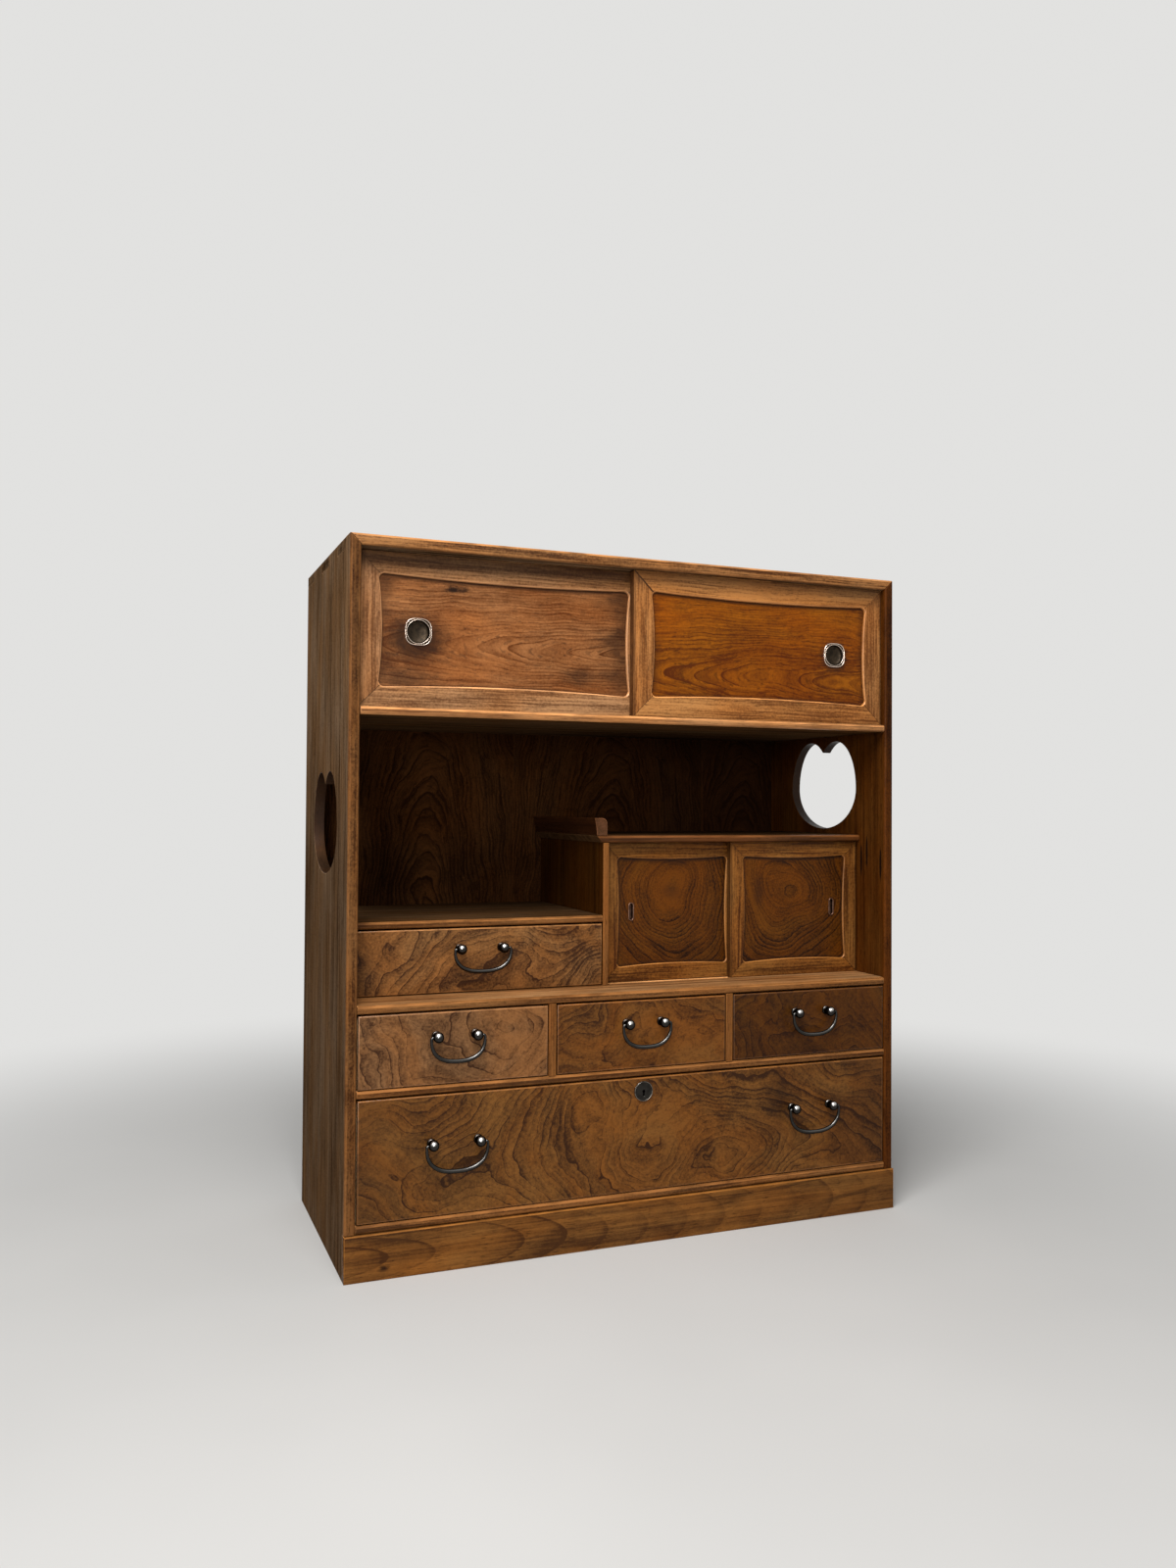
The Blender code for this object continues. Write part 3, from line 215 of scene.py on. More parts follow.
class TeaCabinetColours(bpy.types.PropertyGroup):
    """Colours of the finishes, the pale and the dark wood of each."""

    side_pale: colour("Sides, pale", "Early wood of the case sides", (0.285, 0.165, 0.086))
    side_dark: colour("Sides, dark", "Late wood of the case sides", (0.058, 0.028, 0.011))
    edge_pale: colour("Case edges, pale", "Early wood of the case's front edges", (0.270, 0.110, 0.034))
    edge_dark: colour("Case edges, dark", "Late wood of the case's front edges", (0.070, 0.024, 0.007))
    plinth_pale: colour("Plinth, pale", "Early wood of the plinth", (0.260, 0.101, 0.021))
    plinth_dark: colour("Plinth, dark", "Late wood of the plinth", (0.062, 0.022, 0.006))
    shelf_pale: colour("Shelves, pale", "Early wood of the shelves", (0.380, 0.172, 0.060))
    shelf_dark: colour("Shelves, dark", "Late wood of the shelves", (0.105, 0.041, 0.013))
    back_pale: colour("Back, pale", "Early wood of the back", (0.086, 0.031, 0.009))
    back_dark: colour("Back, dark", "Late wood of the back", (0.022, 0.008, 0.003))
    frame_pale: colour("Door frames, pale", "Early wood of the upper door frames", (0.480, 0.225, 0.088))
    frame_dark: colour("Door frames, dark", "Late wood of the upper door frames", (0.145, 0.056, 0.019))
    small_frame_pale: colour("Small frames, pale", "Early wood of the small door frames", (0.300, 0.114, 0.022))
    small_frame_dark: colour("Small frames, dark", "Late wood of the small door frames", (0.070, 0.022, 0.005))
    panel_pale: colour("Door panels, pale", "Early wood of the upper door panels", (0.460, 0.172, 0.056))
    panel_dark: colour("Door panels, dark", "Late wood of the upper door panels", (0.150, 0.042, 0.010))
    burl_pale: colour("Burl, pale", "Pale wood of the drawer fronts and small panels", (0.330, 0.146, 0.050))
    burl_dark: colour("Burl, dark", "Dark lines of the drawer fronts and small panels", (0.046, 0.017, 0.006))
    box_pale: colour("Drawer boxes, pale", "Early wood of the drawer boxes", (0.520, 0.360, 0.205))
    box_dark: colour("Drawer boxes, dark", "Late wood of the drawer boxes", (0.270, 0.160, 0.078))
    bronze: colour("Black bronze", "Colour of the posts and bails", (0.044, 0.041, 0.038))
    copper: colour("Worn copper", "Colour of the pulls' rims", (0.930, 0.790, 0.680))
    iron: colour("Iron", "Colour of the lock and the nails", (0.085, 0.077, 0.070))


class TeaCabinetStage(bpy.types.PropertyGroup):
    """The floor, the light and the camera."""

    floor: colour("Floor", "Colour of the plain floor", (0.640, 0.630, 0.610))
    backdrop: colour("Backdrop", "Colour behind the cabinet", (0.760, 0.757, 0.745))
    key_power: number("Key light", "Power of the large soft light", 50.0, unit="POWER")
    front_power: number("Front light", "Power of the weaker light before the cabinet", 15.0, unit="POWER")
    fill: number("Fill", "Strength of the even light from all round", 0.22, subtype="FACTOR")
    lens: number("Focal length", "For a 36 mm high picture", 27.61, 1.0, unit="CAMERA")


# Nodes

class Bench:
    """Short calls that add nodes to one tree."""

    def __init__(self, tree):
        self.tree = tree

    def put(self, socket, value):
        if isinstance(value, bpy.types.NodeSocket):
            self.tree.links.new(value, socket)
        else:
            socket.default_value = value

    def add(self, kind, *values, **settings):
        """A node with its settings and its first inputs. None leaves an input alone."""
        node = self.tree.nodes.new(kind)
        for key, value in settings.items():
            setattr(node, key, value)
        for index, value in enumerate(values):
            if value is not None:
                self.put(node.inputs[index], value)
        return node

    def math(self, operation, *values):
        return self.add("ShaderNodeMath", *values, operation=operation).outputs[0]

    def vector(self, operation, *values):
        return self.add("ShaderNodeVectorMath", *values, operation=operation).outputs[0]

    def far(self, vector):
        return self.add("ShaderNodeVectorMath", vector, operation="LENGTH").outputs["Value"]

    def scale(self, vector, factor):
        node = self.add("ShaderNodeVectorMath", vector, operation="SCALE")
        self.put(node.inputs["Scale"], factor)
        return node.outputs[0]

    def noise(self, vector, size, detail=2.0, roughness=0.5):
        """Noise of 0 to 1 whose patches are 1/size metres long on each axis."""
        stretched = self.vector("MULTIPLY", vector, size)
        return self.add("ShaderNodeTexNoise", stretched, None, 1.0, detail, roughness).outputs[0]

    def swing(self, vector, size, detail=2.0, roughness=0.5):
        """The same noise to both sides of 0."""
        return self.math("SUBTRACT", self.noise(vector, size, detail, roughness), 0.5)

    def ramp(self, value, low, high, to_low=0.0, to_high=1.0):
        node = self.add("ShaderNodeMapRange", value, low, high, to_low, to_high, interpolation_type="SMOOTHSTEP")
        return node.outputs[0]

    def mix(self, share, first, second):
        node = self.add("ShaderNodeMix", share, data_type="RGBA")
        self.put(node.inputs[6], first)
        self.put(node.inputs[7], second)
        return node.outputs[2]

    def split(self, vector):
        return self.add("ShaderNodeSeparateXYZ", vector).outputs

    def join(self, x, y, z):
        return self.add("ShaderNodeCombineXYZ", x, y, z).outputs[0]

    def marked(self, name):
        return self.add("ShaderNodeAttribute", attribute_name=name).outputs["Fac"]

    def group(self, tree, values):
        node = self.add("ShaderNodeGroup", node_tree=tree)
        for name, value in values.items():
            self.put(node.inputs[name], value)
        return node.outputs


def new_group(name, kind, inputs, outputs):
    """An empty node group with its sockets, as pairs of name and kind, and the bench for its nodes."""
    tree = bpy.data.node_groups.new(name, kind)
    for way, sockets in (("INPUT", inputs), ("OUTPUT", outputs)):
        for label, socket in sockets:
            tree.interface.new_socket(label, in_out=way, socket_type=f"NodeSocket{socket}")
    bench = Bench(tree)
    return tree, bench, bench.add("NodeGroupInput").outputs, bench.add("NodeGroupOutput").inputs


def growth_rings():
    """Group that counts growth rings outward from a tapering, wavering heart line.

    Swirl bends the wood as in a burl, and bent is the grain that follows the bends.
    """
    name = "growth_rings"
    if name in bpy.data.node_groups:
        return bpy.data.node_groups[name]
    inputs = [("grain", "Vector"), ("heart", "Vector"), *((label, "Float") for label in RINGS)]
    outputs = [("rings", "Float"), ("bent", "Vector")]
    tree, bench, given, out = new_group(name, "ShaderNodeTree", inputs, outputs)
    place = bench.vector("SUBTRACT", given["grain"], given["heart"])
    moved = bench.vector("ADD", place, bench.scale((7.31, 3.17, 5.73), given["seed"]))
    for share, finer in ((1.0, 1.0), (0.075, 5.3), (0.022, 17.0)):
        spot = bench.scale(moved, bench.math("MULTIPLY", given["swirl_size"], finer))
        cloud = bench.add("ShaderNodeTexNoise", spot, None, 1.0, 1.0).outputs["Color"]
        bend = bench.vector("SUBTRACT", cloud, (0.5, 0.5, 0.5))
        place = bench.vector("ADD", place, bench.scale(bend, bench.math("MULTIPLY", given["swirl"], share)))
    u, v, w = bench.split(place)
    sway = bench.swing(moved, (3.0, 11.0, 11.0))
    sway = bench.math("MULTIPLY_ADD", bench.swing(moved, (16.0, 55.0, 55.0)), 0.22, sway)
    across = bench.math("MULTIPLY_ADD", sway, given["waver"], v)
    radius = bench.far(bench.join(bench.math("MULTIPLY", u, given["taper"]), across, w))
    bench.put(out["rings"], bench.math("DIVIDE", radius, given["spacing"]))
    bench.put(out["bent"], bench.join(u, radius, w))
    return tree


def wood_finish():
    """Group that turns rings into oiled wood: late wood lines, fibres, pores, stains and painted shade, and worn
    edges with a painted highlight.
    """
    name = "wood_finish"
    if name in bpy.data.node_groups:
        return bpy.data.node_groups[name]
    inputs = [("grain", "Vector"), ("place", "Vector"), ("pale", "Color"), ("dark", "Color")]
    inputs += [(label, "Float") for label in ("rings", "end", "stain", "worn", *FIGURE)]
    outputs = [("colour", "Color"), ("roughness", "Float"), ("height", "Float")]
    tree, bench, given, out = new_group(name, "ShaderNodeTree", inputs, outputs)
    grain, place = given["grain"], given["place"]

    phase = bench.math("FRACT", given["rings"])
    strength = bench.add("ShaderNodeTexWhiteNoise", noise_dimensions="1D")
    bench.put(strength.inputs["W"], bench.math("FLOOR", given["rings"]))
    close = bench.ramp(phase, 0.955, 1.0, 1.0, 0.0)
    line = bench.math("MULTIPLY", bench.ramp(phase, given["line_start"], 0.95), close)
    late = bench.math("MULTIPLY", bench.ramp(phase, 0.10, 0.95), close)
    late = bench.math("ADD", bench.math("MULTIPLY", line, 0.62), bench.math("MULTIPLY", late, 0.38))
    uneven = bench.ramp(strength.outputs["Value"], 0.0, 1.0, 0.25, 1.0)
    broken = bench.ramp(bench.noise(grain, (9.0, 22.0, 22.0)), 0.36, 0.62, 0.35, 1.0)
    grown = bench.ramp(bench.math("SUBTRACT", given["rings"], given["core"]), -1.2, 0.8)
    for share in (uneven, broken, grown):
        late = bench.math("MULTIPLY", late, share)

    fibre = bench.swing(grain, (12.0, 400.0, 400.0), 3.0, 0.6)
    streak = bench.swing(grain, (2.6, 80.0, 80.0), 3.0, 0.55)
    mottle = bench.swing(grain, (34.0, 60.0, 60.0), 4.0, 0.62)
    blotch = bench.swing(grain, (5.0, 11.0, 11.0), 3.0, 0.5)
    fleck = bench.swing(place, (330.0, 330.0, 330.0), 2.0, 0.7)
    dots = bench.ramp(bench.noise(place, (430.0, 430.0, 430.0), 1.0), 0.69, 0.75, 0.0, 0.35)
    pore = bench.ramp(bench.noise(grain, (85.0, 720.0, 720.0), 1.0), 0.57, 0.66)
    pore = bench.math("MULTIPLY", pore, bench.ramp(phase, 0.0, 0.6, 1.0, 0.35))
    tone = 0.40
    for part, amount in (
        (late, given["lines"]), (fibre, given["fibre"]), (streak, given["streaks"]), (mottle, given["mottle"]),
        (bench.math("ADD", fleck, dots), given["fleck"]),
        (blotch, bench.math("MULTIPLY_ADD", given["mottle"], 0.8, 0.8)),
        (bench.math("SUBTRACT", grown, 1.0), 0.16),
    ):
        tone = bench.math("MULTIPLY_ADD", part, amount, tone)

    body = bench.mix(tone, given["pale"], given["dark"])
    warmth = bench.noise(grain, (8.0, 26.0, 26.0))
    body = bench.vector("MULTIPLY", body, bench.join(
        1.0, bench.ramp(warmth, 0.3, 0.7, 0.92, 1.08), bench.ramp(warmth, 0.3, 0.7, 0.80, 1.20)))
    shade = bench.math("SUBTRACT", 1.0, bench.math("MULTIPLY", pore, given["pores"]))
    shade = bench.math("MULTIPLY", shade, bench.math("MULTIPLY_ADD", given["end"], -0.38, 1.0))
    # Darkening by stains, knots, cracks and painted shade.
    body = bench.mix(given["stain"], bench.scale(body, shade), rgba(STAIN_AND_SHADE_TINT))
    # Worn edges turn paler, and those that face up turn palest, as a painted highlight.
    rubbed = bench.ramp(bench.noise(grain, (26.0, 90.0, 90.0)), 0.32, 0.68, 0.25, 0.85)
    rubbed = bench.math("MULTIPLY", rubbed, given["worn"])
    bench.put(out["colour"], bench.mix(rubbed, body, bench.scale(given["pale"], 1.9)))

    rough = bench.math("MULTIPLY_ADD", pore, 0.25, 0.38)
    rough = bench.math("MULTIPLY_ADD", fibre, 0.35, rough)
    bench.put(out["roughness"], bench.math("MULTIPLY_ADD", given["worn"], -0.07, rough))
    height = bench.math("MULTIPLY_ADD", pore, -0.8, bench.math("MULTIPLY", fibre, 0.5))
    bench.put(out["height"], bench.math("MULTIPLY_ADD", late, -0.25, height))
    return tree


def rgba(tint):
    return (*tint, 1.0)


def scaled(tint, shares):
    """A tint made lighter or darker, by shares of red, green and blue."""
    return tuple(min(1.0, part * share) for part, share in zip(tint, shares))


def shades(family, pale=PLAIN, dark=PLAIN):
    """The pale and the dark of a family of wood, each made lighter or darker."""
    tints = bpy.context.scene.tea_cabinet_colours
    return scaled(getattr(tints, f"{family}_pale"), pale), scaled(getattr(tints, f"{family}_dark"), dark)


def new_material(name):
    """A material with a lone shader, and the bench for its other nodes."""
    material = bpy.data.materials.new(name)
    material.use_nodes = True
    return material, Bench(material.node_tree), material.node_tree.nodes["Principled BSDF"]


def dress_shader(bench, shader, colour, roughness, height, strength, depth):
    """Give a shader its colour, its roughness and its fine relief."""
    bump = bench.add("ShaderNodeBump", strength, depth)
    bench.put(bump.inputs["Height"], height)
    bench.put(shader.inputs["Base Color"], colour)
    bench.put(shader.inputs["Roughness"], roughness)
    bench.put(shader.inputs["Normal"], bump.outputs[0])


def wood(name, way, heart, tones, gloss=0.12, rubbed=True, marks=None, boards=None, **figure):
    """Oiled wood. Way names the axis that its grain runs along and the one that its face spreads across.

    The heart line lies at heart (along, across, through), and boards moves it from board to board. Tones
    are the pale and the dark wood, marks adds stains and painted shade, and figure changes values of RINGS and
    FIGURE.
    """
    material, bench, shader = new_material(name)
    coordinates = bench.add("ShaderNodeTexCoord").outputs
    axes = dict(zip("XYZ", bench.split(coordinates["Object"])))
    along, across = way
    through = next(axis for axis in "XYZ" if axis not in way)
    grain = bench.join(axes[along], axes[across], axes[through])
    end = bench.add("ShaderNodeVectorMath", coordinates["Normal"], GRAIN_AXES[along], operation="DOT_PRODUCT")
    if boards is not None:
        heart = bench.join(heart[0], boards(bench, axes[across]), heart[2])
    growth = {key: figure.pop(key, usual) for key, usual in RINGS.items()}
    rings = bench.group(growth_rings(), {"grain": grain, "heart": heart, **growth})
    finish = bench.group(wood_finish(), {
        **FIGURE, **figure,
        "grain": rings["bent"] if growth["swirl"] else grain, "place": grain, "rings": rings["rings"],
        "pale": rgba(tones[0]), "dark": rgba(tones[1]),
        "end": bench.ramp(bench.math("ABSOLUTE", end.outputs["Value"]), 0.6, 0.95),
        "stain": 0.0 if marks is None else marks(bench, axes),
        # Worn edges, with a painted highlight on those that face up.
        "worn": bench.marked("worn") if rubbed else 0.0,
    })
    dress_shader(bench, shader, finish["colour"], finish["roughness"], finish["height"], 0.35, 0.0004)
    shader.inputs["IOR"].default_value = 1.46
    shader.inputs["Specular IOR Level"].default_value = gloss
    return material


def metal(name, tint, roughness, patina, cover, rim=1.0, bare=None):
    """Metal with a blotchy patina over it, by cover, and fine scratches.

    Rim is how bright it turns at a slant. The last argument is the tint of a painted highlight, laid on the side
    that faces the key light.
    """
    material, bench, shader = new_material(name)
    place = bench.add("ShaderNodeTexCoord").outputs["Object"]
    cloud = bench.noise(place, (160.0, 160.0, 160.0), 4.0, 0.6)
    grit = bench.noise(place, (900.0, 900.0, 900.0), 2.0)
    share = bench.math("MULTIPLY", bench.ramp(cloud, 0.35, 0.70), cover)
    body = bench.mix(share, rgba(tint), rgba(patina))
    if bare is not None:
        # Painted highlight: the side marked towards the key light takes the highlight tint.
        body = bench.mix(bench.marked("rubbed"), body, rgba(bare))
    rough = bench.math("MULTIPLY_ADD", cloud, 0.16, roughness - 0.08)
    rough = bench.math("MULTIPLY_ADD", grit, 0.08, rough)
    height = bench.math("ADD", cloud, bench.math("MULTIPLY", grit, 0.4))
    dress_shader(bench, shader, body, rough, height, 0.15, 0.0002)
    shader.inputs["Metallic"].default_value = 1.0
    shader.inputs["Specular Tint"].default_value = (rim, rim, rim, 1.0)
    return material


# Stains, knots and painted shade

def darkest(bench, stains):
    total = stains[0]
    for stain in stains[1:]:
        total = bench.math("MAXIMUM", total, stain)
    return total


def patch(bench, axes, centre, size, inner, outer, raggedness, strength, level="X"):
    """A ragged spot, dark inside inner and fading to outer. Size stretches it along the level axis and z."""
    u = bench.math("DIVIDE", bench.math("SUBTRACT", axes[level], centre[0]), size[0])
    v = bench.math("DIVIDE", bench.math("SUBTRACT", axes["Z"], centre[1]), size[1])
    rag = bench.swing(bench.join(*axes.values()), (90.0, 90.0, 160.0), 3.0, 0.6)
    far = bench.math("MULTIPLY_ADD", rag, raggedness, bench.far(bench.join(u, v, 0.0)))
    return bench.ramp(far, inner, outer, strength, 0.0)


def end_band(bench, axes, edge, reach, strength):
    """A dark band that fades inward from a board's end."""
    far = bench.math("ABSOLUTE", bench.math("SUBTRACT", axes["X"], edge))
    rag = bench.swing(bench.join(*axes.values()), (14.0, 14.0, 30.0), 3.0, 0.6)
    far = bench.math("MULTIPLY_ADD", rag, reach * 2.2, far)
    return bench.ramp(far, 0.0, reach, strength, 0.0)


def stains(spots, ends=()):
    """Marks made of ragged spots and dark ends."""
    def marks(bench, axes):
        made = [patch(bench, axes, *spot) for spot in spots]
        return darkest(bench, made + [end_band(bench, axes, *end) for end in ends])

    return marks


# Meshes

def new_object(name, data):
    """An object that is linked into the scene."""
    made = bpy.data.objects.new(name, data)
    bpy.context.scene.collection.objects.link(made)
    return made


def mesh_from(name, bm):
    """A mesh from a bmesh, which is used up."""
    mesh = bpy.data.meshes.new(name)
    bm.to_mesh(mesh)
    bm.free()
    return mesh


def plain_mesh(piece):
    """The mesh that a piece's modifiers or its curve make."""
    return bpy.data.meshes.new_from_object(piece.evaluated_get(bpy.context.evaluated_depsgraph_get()))


def whole_faces(bm):
    """Join loose triangles to whole faces."""
    bmesh.ops.remove_doubles(bm, verts=bm.verts, dist=JOIN)
    bmesh.ops.dissolve_limit(bm, angle_limit=FLAT, verts=bm.verts, edges=bm.edges)


def close_seams(bm):
    """Join the seams of a new shape and turn its faces outward."""
    bmesh.ops.remove_doubles(bm, verts=bm.verts, dist=SEAM)
    bmesh.ops.recalc_face_normals(bm, faces=bm.faces)


def solid_copy(node):
    """A bmesh of a solid."""
    bm = bmesh.new()
    bm.from_mesh(frame["nodes"][node].data)
    whole_faces(bm)
    return bm


def cut_with(bm, tool):
    """Take one bmesh, which is used up, out of another."""
    stock = bpy.data.meshes.new("stock")
    bm.to_mesh(stock)
    meshes = [stock, mesh_from("tool", tool)]
    objects = [new_object(mesh.name, mesh) for mesh in meshes]
    cutter = objects[0].modifiers.new("cut", "BOOLEAN")
    cutter.operation = "DIFFERENCE"
    cutter.object = objects[1]
    result = plain_mesh(objects[0])
    bm.clear()
    bm.from_mesh(result)
    for each in objects:
        bpy.data.objects.remove(each)
    for mesh in (*meshes, result):
        bpy.data.meshes.remove(mesh)
    whole_faces(bm)


def box(bm, low, high):
    """Add a box between two corners."""
    low, high = Vector(low), Vector(high)
    place = Matrix.Translation((low + high) / 2) @ Matrix.Diagonal((*(high - low), 1.0))
    bmesh.ops.create_cube(bm, size=1.0, matrix=place)


def skin(bm, loops, material=lambda row, index: 0):
    """Faces from each closed loop to the next. Material tells a face's slot from its row and its place."""
    for row, (here, there) in enumerate(zip(loops, loops[1:])):
        for index in range(len(here)):
            after = (index + 1) % len(here)
            face = bm.faces.new((here[index], here[after], there[after], there[index]))
            face.material_index = material(row, index)


def prism(bm, outline, low, high, axis):
    """Extrude a closed outline along an axis, the points being (y, z), (x, z) or (x, y)."""
    def corner(u, v, height):
        return {"X": (height, u, v), "Y": (u, height, v), "Z": (u, v, height)}[axis]

    ends = [[bm.verts.new(corner(u, v, height)) for u, v in outline] for height in (low, high)]
    skin(bm, ends)
    for end in ends:
        bm.faces.new(end)
    bmesh.ops.recalc_face_normals(bm, faces=bm.faces)


def turned(bm, profile, centre, steps=TURN_STEPS, outline=None, material=0):
    """Turn a profile of (radius, height towards the front) about an axis along Y.

    An outline gives each angle its own stretch of the radii.
    """
    rings = []
    for step in range(steps):
        angle = 2 * math.pi * step / steps
        ring = []
        for radius, height in profile:
            reach = radius if outline is None else outline(radius, angle)
            ring.append(bm.verts.new((
                centre[0] + reach * math.cos(angle), centre[1] - height, centre[2] + reach * math.sin(angle))))
        rings.append(ring)
    for here, there in zip(rings, rings[1:] + rings[:1]):
        for index in range(len(profile) - 1):
            if profile[index][0] == 0.0 and profile[index + 1][0] == 0.0:
                continue
            face = bm.faces.new((here[index], here[index + 1], there[index + 1], there[index]))
            face.material_index = material
    close_seams(bm)


def arc(centre, radius_u, radius_v, start, end, steps, exponent=2.0):
    """Points on an elliptic arc, angles in degrees. An exponent over 2 makes it squarer."""
    points = []
    for angle in spread(math.radians(start), math.radians(end), steps + 1):
        cosine, sine = math.cos(angle), math.sin(angle)
        u = math.copysign(abs(cosine) ** (2 / exponent), cosine)
        v = math.copysign(abs(sine) ** (2 / exponent), sine)
        points.append((centre[0] + radius_u * u, centre[1] + radius_v * v))
    return points


def spread(low, high, count):
    """Evenly spaced values from low to high."""
    return [low + (high - low) * index / (count - 1) for index in range(count)]


def ease_edges(bm, width, segments=2, chosen=None):
    """Round the outward edges a little. Edges that are too short for it stay as they are."""
    edges = []
    for edge in bm.edges:
        if len(edge.link_faces) != 2 or not edge.is_convex or edge.calc_face_angle() < SHARP:
            continue
        if edge.calc_length() > 3 * width and (chosen is None or chosen(edge)):
            edges.append(edge)
    bmesh.ops.bevel(bm, geom=edges, offset=width, segments=segments, profile=0.5, affect="EDGES")


# Pieces

def middle_of(node):
    low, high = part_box(node)
    return (low + high) / 2


def body_of(node):
    return next(body for body, members in frame["record"]["behaviour"]["bodies"].items() if node in members)


def place_piece(piece, body, slot, nodes=()):
    """Tie a finished piece to its body and to the solids that it stands for."""
    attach(piece, body)
    if nodes:
        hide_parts(*nodes)


def settle(piece):
    """Turn a piece's modifiers, or its curve, into a plain mesh."""
    mesh = plain_mesh(piece)
    if piece.type == "MESH":
        piece.modifiers.clear()
        piece.data = mesh
        return piece
    name = piece.name
    bpy.data.objects.remove(piece)
    return new_object(name, mesh)


def add_piece(name, bm, materials, body, slot, nodes=()):
    """Make a piece from a bmesh: mark its worn edges and their painted highlight, even its shading and tie it to
    its body.
    """
    mesh = mesh_from(name, bm)
    for material in materials:
        mesh.materials.append(material)
    wear_and_light = []
    # Rounded faces wear paler; those that face up get the most, as a painted highlight.
    for polygon in mesh.polygons:
        rounded = max(abs(part) for part in polygon.normal) < 0.985
        wear_and_light.append(rounded * (1.0 if polygon.normal.z > 0.1 else 0.4))
    mesh.attributes.new("worn", "FLOAT", "FACE").data.foreach_set("value", wear_and_light)
    mesh.shade_smooth()
    mesh.set_sharp_from_angle(angle=SHARP)
    piece = new_object(name, mesh)
    piece.modifiers.new("even_shading", "WEIGHTED_NORMAL").keep_sharp = True
    place_piece(settle(piece), body, slot, nodes)


def paint_highlight(piece, most):
    """Mark a painted highlight on a metal piece: most on what faces forward, up and a little left, towards the key
    light.
    """
    shares = []
    for vertex in piece.data.vertices:
        share = min(1.0, max(0.0, (vertex.normal.dot(PAINTED_HIGHLIGHT_SIDE) - 0.80) / 0.18))
        shares.append(most * share * share * (3.0 - 2.0 * share))
    piece.data.attributes.new("rubbed", "FLOAT", "POINT").data.foreach_set("value", shares)


def dress_board(node, materials, slot, width, change=None):
    """A board as its solid has it, with eased edges.

    A second material covers its front edge, a third the face of a side that looks into the case, and
    a fourth the wall of its heart-shaped opening.
    """
    bm = solid_copy(node)
    if change is not None:
        change(bm, node)
    ease_edges(bm, width)
    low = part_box(node)[0]
    inward = -1.0 if low.x > 0.0 else 1.0
    for face in bm.faces:
        if len(materials) > 1 and face.normal.y < -0.3 and face.calc_center_median().y < low.y + FRONT_EDGE:
            face.material_index = 1
        elif len(materials) > 2 and face.normal.x * inward > 0.7:
            face.material_index = 2
        elif len(materials) > 3 and in_heart(face, node):
            face.material_index = 3
    add_piece(f"finished_{node}", bm, materials, body_of(node), slot, (node,))


# Case

def smooth_heart(bm, node):
    """Cut a side's heart-shaped opening again: two lobes over a round bowl, with a finer outline."""
    y, middle = HEART_CENTRES[node]
    z = middle + (HEART_BOWL_H - HEART_LOBE_H) / 2
    lobe = HEART_LOBE_W + HEART_TRIM, HEART_LOBE_H + HEART_TRIM
    meet = math.degrees(math.acos(HEART_LOBE_X / lobe[0]))
    front = arc((y - HEART_LOBE_X, z), *lobe, meet, 180, 40)
    bowl = arc((y, z), HEART_LOBE_X + lobe[0], HEART_BOWL_H + HEART_TRIM, 180, 360, 72)
    back = arc((y + HEART_LOBE_X, z), *lobe, 0, 180 - meet, 40)
    low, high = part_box(node)
    tool = bmesh.new()
    prism(tool, front + bowl[1:] + back[1:-1], low.x - CUT_PAST, high.x + CUT_PAST, "X")
    cut_with(bm, tool)


def in_heart(face, node):
    """Whether a face is part of the wall of a side's heart-shaped opening."""
    y, z = HEART_CENTRES[node]
    middle = face.calc_center_median()
    return (abs(face.normal.x) < 0.9 and abs(middle.y - y) < HEART_LOBE_X + HEART_LOBE_W + 0.002
            and abs(middle.z - z) < HEART_LOBE_H)


def nail_points():
    """Places of the nails on the outer face of the back: along its edges and the shelves."""
    low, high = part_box("back_panel")
    columns = (low.x + NAIL_EDGE, high.x - NAIL_EDGE)
    rows = [low.z + NAIL_EDGE, high.z - NAIL_EDGE]
    rows += [middle_of(node).z for node in ("upper_shelf", "mid_shelf", "lower_shelf")]
    heights = spread(low.z + NAIL_COLUMN_END, high.z - NAIL_COLUMN_END, NAILS_IN_COLUMN)
    widths = spread(low.x + NAIL_ROW_END, high.x - NAIL_ROW_END, NAILS_IN_ROW)
    points = [(x, high.y, z) for x in columns for z in heights]
    return points + [(x, high.y, z) for z in rows for x in widths]


def sink_nails(bm, node):
    """Bore the shallow sinks that the nail heads sit in."""
    radius = bpy.context.scene.tea_cabinet_sizes.nail_radius + NAIL_PLAY
    bores = bmesh.new()
    for point in nail_points():
        turned(bores, [(0.0, NAIL_SINK), (radius, NAIL_SINK), (radius, -0.001), (0.0, -0.001)], point, 14)
    cut_with(bm, bores)


def back_centres(bench, x):
    """The heart line of each of the back's three boards."""
    middle = bench.math("GREATER_THAN", x, BACK_SEAMS[0])
    right = bench.math("GREATER_THAN", x, BACK_SEAMS[1])
    return bench.math("MULTIPLY_ADD", right, 0.235, bench.math("MULTIPLY_ADD", middle, 0.300, -0.215))


def back_shade(bench, axes):
    """Painted shade on the right half of the back."""
    return bench.ramp(axes["X"], -0.05, 0.30, 0.0, 0.50)


